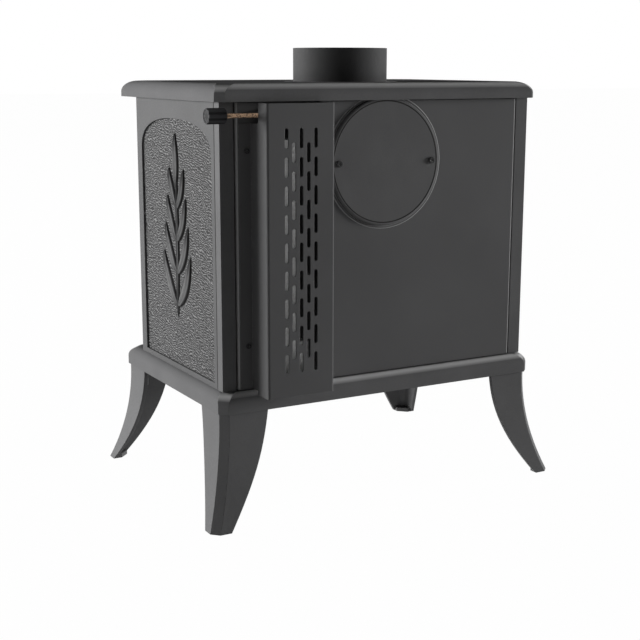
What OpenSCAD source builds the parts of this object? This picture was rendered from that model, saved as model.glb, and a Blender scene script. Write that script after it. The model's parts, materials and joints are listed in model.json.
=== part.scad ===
// Cast-iron box stove on four curved legs.
// Millimetres, +Z up. Origin on the floor, midway between the feet.
// The door faces -Y, the heat shield and the air channel face +Y.

/* [Body] */
// Width of the iron body over its side panels
body_w = 620; // [560:1:680]
// Depth of the body from the side panels' front edge to the rear posts
body_d = 362; // [330:1:400]
// Height of the body between the base plate and the top plate
body_h = 477.5; // [460:0.5:500]
// How far the body's middle lies behind the middle of the feet
body_y = 16; // [10:1:22]
// Thickness of the side and back castings
panel_t = 9; // [7:0.5:12]
// Depth of the rear corner posts
post_d = 20; // [16:1:26]
// Width of the rear corner posts
post_w = 25; // [18:1:26]
// Distance of the back panel from the rear face of the posts
back_inset = 10; // [8:0.5:11]

/* [Side panel] */
// Plain border in front of the arched recess
recess_front = 22; // [14:1:30]
// Plain border behind the arched recess
recess_rear = 12; // [8:1:20]
// Plain border under the arched recess
recess_foot = 9; // [6:1:20]
// Plain border over the crown of the arch
recess_crown = 33; // [24:1:50]
// Height of the arch from its springing to its crown
arch_rise = 58; // [40:1:80]
// Squareness of the arch, 2 is an ellipse
arch_power = 2.4; // [2:0.1:3]
// Depth of the arched recess
recess_depth = 4.5; // [3:0.5:5.5]

/* [Top plate] */
// Thickness of the moulded edge
top_t = 29; // [26:1:34]
// Overhang beyond each side panel
top_side = 10; // [7:1:14]
// Overhang in front of the side panels
top_front = 63; // [56:1:66]
// Overhang behind the rear posts
top_rear = 16.5; // [14:0.5:20]
// Radius of the quarter-round edge
top_edge_r = 21; // [14:1:24]
// Thickness of the plate inside its rim
top_skin = 12; // [11:0.5:15]
// How far the corner chamfers spread inwards at the top plate's top
top_flare = 38; // [30:1:42]
// Depth from the plates' tops at which the corner chamfers start to spread
flare_h = 20; // [16:1:24]
// Length of the corner chamfers of the plates and legs
corner_cut = 13; // [9:0.5:15]

/* [Base plate] */
// Height of the base skirt
base_t = 34.5; // [32:0.5:40]
// Overhang beyond each side panel
base_side = 12.3; // [9:0.1:16]
// Overhang in front of the side panels
base_front = 60.8; // [54:0.1:66]
// Overhang behind the rear posts
base_rear = 19.7; // [16:0.1:24]
// Radius of the quarter-round upper edge
base_edge_r = 18; // [14:1:24]
// Thickness of the plate inside its skirt
base_skin = 8; // [8:0.5:10]
// Thickness of the skirt
skirt_t = 8; // [6:0.5:9]
// How far the corner chamfers spread inwards at the base plate's top
base_flare = 30; // [26:1:34]

/* [Legs] */
// Height of the legs up to the base skirt
leg_h = 194; // [160:1:230]
// Step in from the skirt to the leg
leg_step = 3.3; // [2:0.1:5]
// How far the foot kicks out beyond the top of the leg
leg_kick = 36; // [24:1:44]
// Straight length at the top of the leg
leg_straight = 8; // [8:1:20]
// Wall of the leg casting
leg_t = 7; // [6:0.5:8]
// Width of each flange at the top
leg_flange_top = 85; // [70:1:100]
// Width of each flange at the foot
leg_flange_foot = 34; // [28:1:44]
// Swell of the flange between top and foot
leg_swell = 8; // [0:1:14]
// Thickness of the foot pad and of the top flange
leg_pad = 8; // [6:0.5:10]
// Thread diameter of the leg bolts
leg_bolt_d = 10; // [8:1:12]
// Distance of the bolt from the leg's two outer faces
leg_bolt_in = 20; // [19:0.5:24]

/* [Flue] */
// Bore of the flue collar
flue_d = 151; // [148:0.5:153]
// Wall of the flue collar
collar_t = 9; // [6:0.5:11]
// Height of the collar above the top plate
collar_h = 58.5; // [40:0.5:90]
// Distance of the collar's axis from the rear face of the posts
flue_in = 150; // [140:1:160]
// Distance of the rear outlet's axis below the top plate
outlet_down = 105.5; // [102:0.5:115]
// Diameter of the flue flange and of the blanking disc
disc_d = 207.4; // [200:0.2:210]
// Thickness of the flue flange and of the blanking disc
disc_t = 6; // [5:0.5:7]
// Thickness of the flue gaskets
flue_gasket_t = 2; // [1:0.5:2.5]
// Width of the lip round the rear outlet's disc
outlet_lip = 6; // [4:0.5:8]
// How far the rear outlet stands out behind the posts
outlet_proud = 10; // [8:0.5:14]
// Distance between the two disc screws
disc_screw_span = 187; // [184:1:190]
// Thread diameter of the disc screws
disc_screw_d = 6; // [5:0.5:7]

/* [Heat shield] */
// Width of the shield
shield_w = 563; // [540:1:564]
// How far the shield's face stands out behind the posts
shield_proud = 3; // [2:0.5:5]
// Thickness of the sheet metal
sheet_t = 1.5; // [1:0.25:2]
// Gap between the shield and the plates above and below
shield_gap = 1.5; // [1:0.5:3]
// Outer bend radius of the sheet metal
bend_r = 3.5; // [2.5:0.5:5]
// Diameter of the shield's hole round the rear outlet
shield_hole_d = 231; // [226:1:236]

/* [Air channel cover] */
// Width of the cover over its side walls
cover_w = 124.5; // [110:0.5:130]
// How far the cover's face stands out behind the shield
cover_d = 58.5; // [50:0.5:64]
// Distance of the cover's middle from the middle of the stove
cover_x = 193.75; // [185:0.25:196]
// Width of the cover's flanges
cover_flange = 22; // [20:0.5:26]
// How far the cover's face hangs below the base plate's top
cover_drop = 5.5; // [0:0.5:12]
// Width of the air slots
slot_w = 6.6; // [4:0.1:9]
// Height of the air slots
slot_h = 32.2; // [20:0.2:38]
// Sideways pitch of the slot columns
slot_pitch_x = 13.4; // [11:0.1:16]
// Upright pitch of the slots
slot_pitch_z = 46.2; // [42:0.2:48]
// Slot columns
slot_columns = 5; // [3:2:7]
// Slots in a long column
slot_rows = 9; // [7:1:9]
// Distance from the cover's top to the first slots
slot_top = 39; // [30:1:48]
// Width of the notch for the control rod
notch_w = 31; // [26:1:34]
// Height of the notch for the control rod
notch_h = 33; // [30:1:40]
// Distance of the flange screws from the cover's top
cover_screw_top = 77.5; // [60:0.5:100]
// Upright distance between the flange screws
cover_screw_span = 323.5; // [280:0.5:340]
// Diameter of the cover screws
cover_screw_d = 5; // [4:0.5:6]

/* [Air control] */
// Diameter of the control rod
rod_d = 8; // [6:0.5:10]
// Thread pitch of the control rod
rod_pitch = 1.25; // [1:0.25:1.5]
// Distance of the rod from the shield's face
rod_out = 21; // [19:0.5:24]
// Distance of the rod below the top plate
rod_down = 21; // [17:0.5:24]
// Diameter of the control knob
knob_d = 25.4; // [20:0.2:30]
// Length of the control knob
knob_l = 31; // [24:1:36]
// Gap between the side panel's plane and the knob
knob_gap = 2; // [1:0.5:6]
// Flutes round the control knob
knob_flutes = 16; // [10:1:20]
// Width of the air box
box_w = 63; // [50:1:66]
// How far the air box stands out behind the shield
box_d = 30; // [24:1:32]
// Distance from the body's top to the air box's top
box_down = 61; // [55:1:70]
// Slots in the lid of the air box
shutter_slots = 3; // [2:1:3]
// Width of the slots in the lid and the shutter
shutter_slot_w = 9; // [6:0.5:9]

/* [Front] */
// Thickness of the front frame
frame_t = 20; // [16:1:24]
// Step in from the side panels to the front frame
frame_inset = 10; // [8:1:16]
// Width of the door opening
opening_w = 430; // [380:1:450]
// Height of the door opening's sill above the base plate
sill_h = 120; // [118:1:130]
// Distance from the door opening's crown to the top plate
lintel_h = 56; // [52:1:66]
// Rise of the arch over the door opening
door_rise = 60; // [40:1:80]
// Overlap of the door on the front frame
door_lap = 20; // [16:1:24]
// Thickness of the door casting
door_t = 18; // [16:1:22]
// Width of the door's border round the glass
door_border = 50; // [44:1:60]
// Thickness of the door glass
glass_t = 4; // [3:0.5:5]
// Diameter of the rope gasket
rope_d = 8; // [6:0.5:10]
// Gap between the closed door's back and the front frame
door_gap = 1.8; // [1:0.1:3]
// Diameter of the hinge pins
pin_d = 8; // [6:0.5:10]
// Diameter of the handle spindle
spindle_d = 10; // [8:0.5:12]
// Length of the door handle's grip
grip_l = 105; // [80:1:120]
// Diameter of the door handle's grip
grip_d = 20; // [16:1:24]

/* [Ash drawer] */
// Width of the ash drawer's opening
ash_w = 400; // [340:1:420]
// Height of the ash drawer's opening
ash_h = 94; // [80:1:98]
// Thickness of the ash drawer's front
ash_front_t = 8; // [6:0.5:10]
// Depth of the ash pan
ash_d = 300; // [240:1:310]
// Wall of the ash pan
pan_t = 2; // [1.5:0.25:3]
// Diameter of the small knobs
small_knob_d = 24; // [18:1:28]

/* [Fire chamber] */
// Thickness of the grate
grate_t = 12; // [10:0.5:14]
// Thickness of the liners
liner_t = 22; // [18:1:24]
// Height of the side liners above the grate
liner_h = 266; // [240:1:280]
// Height of the back liner above the grate
back_liner_h = 170; // [140:1:180]
// Thickness of the baffle plate
baffle_t = 12; // [8:0.5:16]
// Diameter of the tie rods
tie_d = 8; // [6:0.5:9]

/* [Hidden] */

// Finishes
iron = "#5a5a5c";
dark_iron = "#3a3a3b";
sheet_iron = "#4c4c4e";
brass = "#9b8270";
steel = "#8a8a8c";
liner_stone = "#b9a98c";
rope_grey = "#c9c6bd";

// Clearances
fit = 0.05;   // radial clearance of a pin or a shaft in its bore
run = 0.3;    // gap between pieces that move past each other
far = 1000;   // longer than anything on the stove
eps = 0.01;   // overshoot of a cut past a face
head_d_ratio = 1.9;   // width of a screw's head over its thread
head_h_ratio = 0.5;   // height of a screw's head over its thread
$fn = 64;

// Main planes
side_x = body_w / 2;
rear_y = body_y + body_d / 2;
front_y = body_y - body_d / 2;
base_z = leg_h;
body_z = base_z + base_t;
top_z = body_z + body_h;
top_face = top_z + top_t;
panel_in_x = side_x - panel_t;
post_y = rear_y - post_d;
back_y = rear_y - back_inset;
back_in_y = back_y - panel_t;
frame_y = front_y - frame_t;
frame_x = side_x - frame_inset;

// A rectangle with rounded corners, from its lower left to its upper right corner
module rounded_rect(x0, y0, x1, y1, r) {
    union() {
        translate([x0 + r, y0]) square([x1 - x0 - 2 * r, y1 - y0]);
        translate([x0, y0 + r]) square([x1 - x0, y1 - y0 - 2 * r]);
        for (x = [x0 + r, x1 - r], y = [y0 + r, y1 - r]) translate([x, y]) circle(r);
    }
}

// A block from its lowest to its highest corner
module block(a, b) {
    translate(a) cube(b - a);
}

// A profile in X and Z, extruded along Y from y0 to y1
module along_y(y0, y1) {
    translate([0, y1, 0]) rotate([90, 0, 0]) linear_extrude(y1 - y0) children();
}

// A profile in Y and Z, extruded along X from x0 to x1
module along_x(x0, x1) {
    translate([x0, 0, 0]) rotate([90, 0, 90]) linear_extrude(x1 - x0) children();
}

// A cylinder along Y from y0 to y1
module rod_y(x, z, y0, y1, d) {
    translate([x, y1, z]) rotate([90, 0, 0]) cylinder(h = y1 - y0, d = d);
}

// A cylinder along X from x0 to x1
module rod_x(y, z, x0, x1, d) {
    translate([x0, y, z]) rotate([0, 90, 0]) cylinder(h = x1 - x0, d = d);
}

// A screw along Y: shank from y0 to y1 and a round head with a cross recess beyond y1
module screw_y(x, z, y0, y1, d) {
    head_h = head_h_ratio * d;
    difference() {
        union() {
            rod_y(x, z, y0, y1, d);
            rod_y(x, z, y1, y1 + head_h, head_d_ratio * d);
        }
        for (turn = [0, 90]) translate([x, y1 + head_h, z]) rotate([0, turn, 0]) {
            cube([1.1 * d, 0.6 * d, 0.2 * d], center = true);
        }
    }
}

// A flat slab with quarter-round upper edges, and corner chamfers that spread towards the top
module moulded_slab(x1, y0, y1, z0, z1, edge_r, flare) {
    intersection() {
        along_y(y0, y1) rounded_bar(-x1, x1, z0, z1, edge_r, edge_r);
        along_x(-x1, x1) rounded_bar(y0, y1, z0, z1, edge_r, edge_r);
        diagonal_bar(45, x1, y0, y1, z0, z1, flare);
        diagonal_bar(-45, x1, y0, y1, z0, z1, flare);
    }
}

// A bar across two corners of a slab, which cuts their chamfers
module diagonal_bar(turn, x1, y0, y1, z0, z1, flare) {
    half = (x1 + (y1 - y0) / 2 - corner_cut) / sqrt(2);
    translate([0, (y0 + y1) / 2, 0]) rotate([0, 0, turn]) along_y(-far / 2, far / 2) {
        rounded_bar(-half, half, z0, z1, flare, flare_h);
    }
}

// A rectangle whose two upper corners are quarter-ellipses of a width and a height
module rounded_bar(a, b, z0, z1, w, h) {
    intersection() {
        union() {
            translate([a, z0]) square([b - a, z1 - z0 - h]);
            translate([a + w, z0]) square([b - a - 2 * w, z1 - z0]);
            for (x = [a + w, b - w]) translate([x, z1 - h]) scale([1, h / w]) circle(w);
        }
        translate([a, z0]) square([b - a, z1 - z0]);
    }
}

// Points of a flattened arch over a span, from its right springing to its left
function arch_points(mid, half, z0, rise, steps) = [
    for (i = [0:steps]) let (t = 180 * i / steps, c = cos(t), s = sin(t))
        [mid + half * sign(c) * pow(abs(c), 2 / arch_power), z0 + rise * pow(s, 2 / arch_power)]
];

// A panel outline with straight sides and an arched top
module arched_outline(x0, x1, z0, crown, rise) {
    polygon(concat(
        [[x0, z0], [x1, z0]],
        arch_points((x0 + x1) / 2, (x1 - x0) / 2, crown - rise, rise, 32)
    ));
}

// ---------------------------------------------------------------- plates

base_x = side_x + base_side;
base_y0 = front_y - base_front;
base_y1 = rear_y + base_rear;
leg_x = base_x - leg_step;
leg_y0 = base_y0 + leg_step;
leg_y1 = base_y1 - leg_step;
leg_bolt_head = 6;
leg_boss_r = 12;
leg_boss_h = 44;
bolt_stop = 2.5;   // iron left over the end of a leg bolt
tie_edge = 11;     // distance of the tie rods from the side panels' inner face
tie_x = panel_in_x - tie_edge;
tie_front_y = front_y + 13;
tie_rear_y = post_y - 10;
tie_end = 12;      // length of the tie rods in the top plate
nut_w = 13;
nut_h = 6.5;

pocket_side = 10;   // iron between a tie rod and the top plate's pocket
pocket_front = 7;   // distance of the pocket from the side panels' front edge
pocket_rear = 5;    // distance of the pocket from the rear posts

// How far the corner chamfer has spread at the level of the skirt's hollow
skirt_spread = base_flare * (1 - sqrt(1 - pow((flare_h - base_skin) / flare_h, 2)));
skirt_corner_r = (corner_cut / sqrt(2) + skirt_spread - skirt_t * (sqrt(2) - 1)) / (sqrt(2) - 1);

// Puts a piece at each leg's bolt
module at_leg_bolts() {
    for (x = [-1, 1], y = [leg_y0 + leg_bolt_in, leg_y1 - leg_bolt_in]) {
        translate([x * (leg_x - leg_bolt_in), y, 0]) children();
    }
}

// Puts a piece at each tie rod
module at_tie_rods() {
    for (x = [-tie_x, tie_x], y = [tie_front_y, tie_rear_y]) translate([x, y, 0]) children();
}

module base_plate() {
    color(iron) difference() {
        union() {
            difference() {
                moulded_slab(base_x, base_y0, base_y1, base_z, body_z, base_edge_r, base_flare);
                translate([0, 0, base_z - eps]) linear_extrude(base_t - base_skin + eps) rounded_rect(
                    -base_x + skirt_t, base_y0 + skirt_t, base_x - skirt_t, base_y1 - skirt_t, skirt_corner_r
                );
            }
            at_leg_bolts() translate([0, 0, base_z]) cylinder(h = base_t - base_skin + 1, r = leg_boss_r);
        }
        at_leg_bolts() translate([0, 0, base_z - 1]) {
            cylinder(h = base_t - bolt_stop + 1, d = leg_bolt_d + 2 * fit);
        }
        at_tie_rods() translate([0, 0, base_z]) cylinder(h = base_t + 1, d = tie_d + 2 * fit);
    }
}

module top_plate() {
    color(iron) difference() {
        moulded_slab(
            side_x + top_side, front_y - top_front, rear_y + top_rear, top_z, top_face, top_edge_r, top_flare
        );
        block(
            [-tie_x + pocket_side, front_y + pocket_front, top_z - eps],
            [tie_x - pocket_side, post_y - pocket_rear, top_face - top_skin]
        );
        translate([0, flue_y, top_z]) cylinder(h = top_t + 1, d = flue_d);
        translate([0, flue_y, top_face - flue_seat]) cylinder(h = flue_seat + 1, d = disc_d + 2 * disc_gap);
        for (x = [-1, 1]) {
            translate([x * disc_screw_span / 2, flue_y, top_z]) {
                cylinder(h = top_t, d = disc_screw_d + 2 * fit);
            }
        }
        at_tie_rods() translate([0, 0, top_z - 1]) cylinder(h = tie_end + 2, d = tie_d + 2 * fit);
    }
}

module tie_rods() {
    color(steel) at_tie_rods() {
        translate([0, 0, body_z - base_skin - nut_h]) cylinder(h = nut_h, d = nut_w / cos(30), $fn = 6);
        translate([0, 0, body_z - base_skin - 1]) cylinder(h = body_h + base_skin + 1 + tie_end, d = tie_d);
    }
}

// ---------------------------------------------------------------- legs

leg_bend_z = leg_h - leg_straight;
leg_steps = 14;
leg_cut = corner_cut / sqrt(2);   // distance of the chamfer from the leg's outer corner
leg_pad_cut = 0.5;     // share of the foot pad's edges left square
leg_top_share = 0.7;   // length of the leg's top flange, as a share of the wall's width

// Outward kick of the leg at a height
function kick(z) = z > leg_bend_z ? 0 : leg_kick * pow((leg_bend_z - z) / leg_bend_z, 2);

// Width of a leg's flange at a height
function flange_width(z) =
    leg_flange_foot + (leg_flange_top - leg_flange_foot) * z / leg_h + leg_swell * sin(180 * z / leg_h);

function leg_heights() = [for (i = [0:leg_steps]) leg_h * i / leg_steps];

// A band between two curves of the height, given as lists of points
module leg_band(outer, inner) {
    polygon(concat(outer, [for (i = [len(inner) - 1:-1:0]) inner[i]]));
}

// Everything inside the leg's outer surface, seen square to one direction, with its corner cut back
module leg_envelope(turn, cut) {
    rotate([0, 0, turn]) along_y(-far / 2, far / 2) {
        polygon(concat([[-far / 4, leg_h], [-far / 4, 0]], leg_curve(-cut, cos(turn) + sin(turn))));
    }
}

// The leg's outer curve, moved out by an amount and spread by a ratio
function leg_curve(out, spread = 1) = [for (z = leg_heights()) [kick(z) * spread + out, z]];

module leg_wall_profile() {
    leg_band(leg_curve(leg_t), leg_curve(-leg_t));
}

module leg_flange_profile() {
    leg_band(leg_curve(leg_t), [for (z = leg_heights()) [kick(z) - flange_width(z), z]]);
}

// One leg with its outer corner at the origin, its inside towards -X and -Y
module leg() {
    reach = leg_flange_top + leg_kick;
    top_in = leg_flange_top * leg_top_share;
    foot_in = leg_kick - leg_flange_foot;
    foot_mid = leg_kick - leg_flange_foot * leg_pad_cut;
    color(iron) difference() {
        intersection() {
            union() {
                intersection() {
                    along_y(-reach, reach) leg_wall_profile();
                    along_x(-reach, reach) leg_flange_profile();
                }
                intersection() {
                    along_x(-reach, reach) leg_wall_profile();
                    along_y(-reach, reach) leg_flange_profile();
                }
                rotate([0, 0, 45]) along_y(-reach, reach) {
                    leg_band(leg_curve(leg_t, sqrt(2)), leg_curve(-leg_cut - leg_t, sqrt(2)));
                }
                linear_extrude(leg_pad) polygon([
                    [leg_kick, leg_kick], [foot_in, leg_kick], [foot_in, foot_mid], [foot_mid, foot_in],
                    [leg_kick, foot_in]
                ]);
                translate([0, 0, leg_h - leg_pad]) linear_extrude(leg_pad) polygon([
                    [0, 0], [-top_in, 0], [-top_in, -leg_pad * 2], [-leg_pad * 2, -top_in], [0, -top_in]
                ]);
                translate([-leg_bolt_in, -leg_bolt_in, leg_h - leg_boss_h]) {
                    cylinder(h = leg_boss_h, r = leg_boss_r);
                }
            }
            leg_envelope(0, 0);
            leg_envelope(45, leg_cut);
            leg_envelope(90, 0);
        }
        translate([-leg_bolt_in, -leg_bolt_in, leg_h - leg_boss_h - 1]) {
            cylinder(h = leg_boss_h + 2, d = leg_bolt_d + 2 * fit);
        }
    }
}

module leg_rear_right() { translate([leg_x, leg_y1, 0]) leg(); }
module leg_rear_left() { translate([-leg_x, leg_y1, 0]) mirror([1, 0, 0]) leg(); }
module leg_front_right() { translate([leg_x, leg_y0, 0]) mirror([0, 1, 0]) leg(); }
module leg_front_left() { translate([-leg_x, leg_y0, 0]) rotate([0, 0, 180]) leg(); }

module leg_bolts() {
    shank = leg_boss_h + base_t - bolt_stop - 1;
    color(steel) at_leg_bolts() translate([0, 0, leg_h - leg_boss_h - leg_bolt_head]) {
        cylinder(h = leg_bolt_head, d = 1.85 * leg_bolt_d, $fn = 6);
        cylinder(h = leg_bolt_head + shank, d = leg_bolt_d);
    }
}

// ---------------------------------------------------------------- side and back panels

module side_panel(side) {
    along = side > 0 ? [side_x - recess_depth, side_x + 1] : [-side_x - 1, -side_x + recess_depth];
    inner = side > 0 ? panel_in_x : -side_x;
    color(iron) difference() {
        block([inner, front_y, body_z], [inner + panel_t, post_y, top_z]);
        along_x(along[0], along[1]) arched_outline(
            front_y + recess_front, post_y - recess_rear, body_z + recess_foot, top_z - recess_crown,
            arch_rise
        );
    }
}

module side_panel_left() { side_panel(-1); }
module side_panel_right() { side_panel(1); }

disc_gap = 0.3;
flue_seat = disc_t + flue_gasket_t;
flue_y = rear_y - flue_in;
outlet_z = top_z - outlet_down;
outlet_y = rear_y + outlet_proud;
outlet_r = disc_d / 2 + disc_gap + outlet_lip;
outlet_edge_r = 4;
shield_y = rear_y + shield_proud;
shield_x = shield_w / 2;
shield_z0 = body_z + shield_gap;
shield_z1 = top_z - shield_gap;
inlet_w = 39;
inlet_h = 60;
inlet_side = 18.5;   // distance of the air inlet from the cover's middle
inlet_up = 46;       // height of the air inlet's middle over the base plate
inlet_x = [cover_x + inlet_side - inlet_w / 2, cover_x + inlet_side + inlet_w / 2];
inlet_z = [body_z + inlet_up - inlet_h / 2, body_z + inlet_up + inlet_h / 2];
pad_d = 14;
pad_x = 240;
pad_foot = 52;       // height of the lower spacer pad over the base plate
pad_head = 56;       // distance of the upper spacer pad below the top plate
pad_z = [body_z + pad_foot, top_z - pad_head];
cover_screw_in = [1, 3];   // how far the left and the right screws lie inside the flanges' middles
cover_screw_side = (cover_w + cover_flange) / 2;
cover_screw_high = top_z - shield_gap - cover_screw_top;
cover_screw_z = [cover_screw_high, cover_screw_high - cover_screw_span];
cover_screw_x = [
    cover_x - cover_screw_side + cover_screw_in[0], cover_x + cover_screw_side - cover_screw_in[1],
];

// Puts a piece at each screw of the channel cover, on the plane Y = 0
module at_cover_screws() {
    for (x = cover_screw_x, z = cover_screw_z) translate([x, 0, z]) children();
}

// The rear outlet's ring, about the Y axis, with its face at Y = 0
module outlet_ring() {
    depth = outlet_proud + back_inset;
    rotate([-90, 0, 0]) rotate_extrude() translate([0, outlet_y]) union() {
        translate([0, -depth]) square([outlet_r, depth - outlet_edge_r]);
        translate([0, -outlet_edge_r]) square([outlet_r - outlet_edge_r, outlet_edge_r]);
        translate([outlet_r - outlet_edge_r, -outlet_edge_r]) circle(outlet_edge_r);
    }
}

module rear_plate() {
    color(dark_iron) difference() {
        union() {
            block([-side_x, back_in_y, body_z], [side_x, back_y, top_z]);
            for (x = [-side_x, side_x - post_w]) block([x, post_y, body_z], [x + post_w, rear_y, top_z]);
            translate([0, 0, outlet_z]) outlet_ring();
            at_cover_screws() rod_y(0, 0, back_y - 1, shield_y - sheet_t, pad_d);
            for (z = pad_z) rod_y(-pad_x, z, back_y - 1, shield_y - sheet_t, pad_d);
        }
        rod_y(0, outlet_z, back_in_y - 1, outlet_y + 1, flue_d);
        rod_y(0, outlet_z, outlet_y - flue_seat, outlet_y + 1, disc_d + 2 * disc_gap);
        for (x = [-1, 1]) {
            rod_y(x * disc_screw_span / 2, outlet_z, back_in_y - 1, outlet_y, disc_screw_d + 2 * fit);
        }
        block([inlet_x[0], back_in_y - 1, inlet_z[0]], [inlet_x[1], back_y + 1, inlet_z[1]]);
        at_cover_screws() rod_y(0, 0, back_in_y - 1, shield_y, cover_screw_d + 2 * fit);
        block([-outlet_r, back_y, top_z], [outlet_r, outlet_y + 1, outlet_z + outlet_r + 1]);
    }
}

// ---------------------------------------------------------------- flue collar and blanking disc

recess_w = 3;        // depth of the shallow beads round the cast openings
disc_screw_in = 3;   // length of the disc screws in the iron behind the gasket
screw_sink = head_h_ratio * disc_screw_d;

module flue_collar() {
    color(iron) difference() {
        union() {
            translate([0, flue_y, top_face - disc_t]) cylinder(h = disc_t, d = disc_d);
            translate([0, flue_y, top_face - disc_t]) {
                cylinder(h = disc_t + collar_h, r = flue_d / 2 + collar_t);
            }
        }
        translate([0, flue_y, top_z]) cylinder(h = top_t + collar_h + 1, d = flue_d);
        for (x = [-1, 1]) {
            translate([x * disc_screw_span / 2, flue_y, top_z]) {
                cylinder(h = top_t + 1, d = disc_screw_d + 2 * fit);
                translate([0, 0, top_t - screw_sink]) {
                    cylinder(h = top_t, d = head_d_ratio * disc_screw_d + 1);
                }
            }
        }
    }
}

// A flat gasket ring with its screw holes, lying on Z = 0
module flue_gasket() {
    difference() {
        cylinder(h = flue_gasket_t, d = disc_d);
        translate([0, 0, -1]) cylinder(h = flue_gasket_t + 2, d = flue_d + 2 * recess_w);
        for (x = [-1, 1]) {
            translate([x * disc_screw_span / 2, 0, -1]) {
                cylinder(h = flue_gasket_t + 2, d = disc_screw_d + 2 * fit);
            }
        }
    }
}

module flue_collar_gasket() {
    color(rope_grey) translate([0, flue_y, top_face - flue_seat]) flue_gasket();
}

module flue_collar_screws() {
    color(steel) translate([0, flue_y, top_face]) rotate([90, 0, 0]) {
        for (x = [-1, 1] * disc_screw_span / 2) {
            screw_y(x, 0, -flue_seat - disc_screw_in, -screw_sink, disc_screw_d);
        }
    }
}

module blanking_disc() {
    color(dark_iron) difference() {
        rod_y(0, outlet_z, outlet_y - disc_t, outlet_y, disc_d);
        for (x = [-1, 1] * disc_screw_span / 2) {
            rod_y(x, outlet_z, outlet_y - disc_t - 1, outlet_y + 1, disc_screw_d + 2 * fit);
        }
    }
}

module blanking_disc_gasket() {
    color(rope_grey) translate([0, outlet_y - flue_seat, outlet_z]) rotate([-90, 0, 0]) flue_gasket();
}

module blanking_disc_screws() {
    color(steel) for (x = [-1, 1]) {
        screw_y(x * disc_screw_span / 2, outlet_z, outlet_y - flue_seat - 10, outlet_y, disc_screw_d);
    }
}

// ---------------------------------------------------------------- heat shield and air channel

shield_return = 9;   // depth of the shield's bent edges
bend_in_r = bend_r - sheet_t;

module rear_heat_shield() {
    color(sheet_iron) difference() {
        translate([0, 0, shield_z0]) linear_extrude(shield_z1 - shield_z0) difference() {
            rounded_rect(-shield_x, shield_y - 4 * bend_r, shield_x, shield_y, bend_r);
            rounded_rect(
                -shield_x + sheet_t, shield_y - 5 * bend_r, shield_x - sheet_t, shield_y - sheet_t, bend_in_r
            );
            translate([-far / 2, shield_y - shield_return - far / 10]) square([far, far / 10]);
        }
        rod_y(0, outlet_z, shield_y - sheet_t - 1, shield_y + 1, shield_hole_d);
        block([inlet_x[0], shield_y - sheet_t - 1, inlet_z[0]], [inlet_x[1], shield_y + 1, inlet_z[1]]);
        at_cover_screws() rod_y(0, 0, shield_y - sheet_t - 1, shield_y + 1, cover_screw_d + 2 * fit);
    }
}

cover_x0 = cover_x - cover_w / 2;
cover_x1 = cover_x + cover_w / 2;
cover_y = shield_y + cover_d;
cover_z0 = body_z - cover_drop;
cover_z1 = top_z - shield_gap;
cover_t = 2;            // sheet of the cover
cover_bend_r = 4;
cover_foot = 20;        // depth of the side walls' lower corner that clears the base plate
notch_back = 2;         // distance of the notch behind the shield's face
notch_r = 6;

// Slots of one column, from the top down
module slot_column(x, top, count) {
    for (i = [0:count - 1]) {
        z1 = top - i * slot_pitch_z - slot_w / 2;
        z0 = z1 - slot_h + slot_w;
        block([x - slot_w / 2, cover_y - cover_t - 1, z0], [x + slot_w / 2, cover_y + 1, z1]);
        for (z = [z0, z1]) rod_y(x, z, cover_y - cover_t - 1, cover_y + 1, slot_w);
    }
}

module cover_section() {
    difference() {
        union() {
            rounded_rect(cover_x0, shield_y - 2 * cover_bend_r, cover_x1, cover_y, cover_bend_r);
            translate([cover_x0 - cover_flange, shield_y]) square([cover_w + 2 * cover_flange, sheet_t]);
        }
        rounded_rect(
            cover_x0 + cover_t, shield_y - 3 * cover_bend_r, cover_x1 - cover_t, cover_y - cover_t,
            cover_bend_r - cover_t
        );
        translate([-far / 2, shield_y - far / 10]) square([far, far / 10]);
    }
}

module channel_cover() {
    half = floor(slot_columns / 2);
    notch_y = shield_y - notch_back + notch_w;
    color(sheet_iron) difference() {
        translate([0, 0, cover_z0]) linear_extrude(cover_z1 - cover_z0) cover_section();
        block(
            [cover_x0 - cover_flange - 1, shield_y - 1, cover_z0 - 1],
            [cover_x1 + cover_flange + 1, shield_y + cover_foot, body_z + shield_gap]
        );
        for (i = [-half:half]) {
            short = (i + half) % 2;
            slot_column(
                cover_x + i * slot_pitch_x, cover_z1 - slot_top - short * slot_pitch_z / 2, slot_rows - short
            );
        }
        along_x(cover_x1 - cover_t - 1, cover_x1 + 1) rounded_rect(
            shield_y - notch_back, cover_z1 - notch_h, notch_y, cover_z1 + 2 * notch_r, notch_r
        );
        block(
            [cover_x1 - cover_t - 1, shield_y - 1, cover_z1 - notch_h],
            [cover_x1 + cover_flange + 1, shield_y + sheet_t + 1, cover_z1 + 1]
        );
        at_cover_screws() rod_y(0, 0, shield_y - 1, shield_y + sheet_t + 1, cover_screw_d + 2 * fit);
        rod_y(0, outlet_z, shield_y - 1, shield_y + sheet_t + 1, 2 * (outlet_r + run));
    }
}

module channel_cover_screws() {
    color(steel) at_cover_screws() screw_y(0, 0, back_in_y, shield_y + sheet_t, cover_screw_d);
}

// ---------------------------------------------------------------- air control

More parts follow.
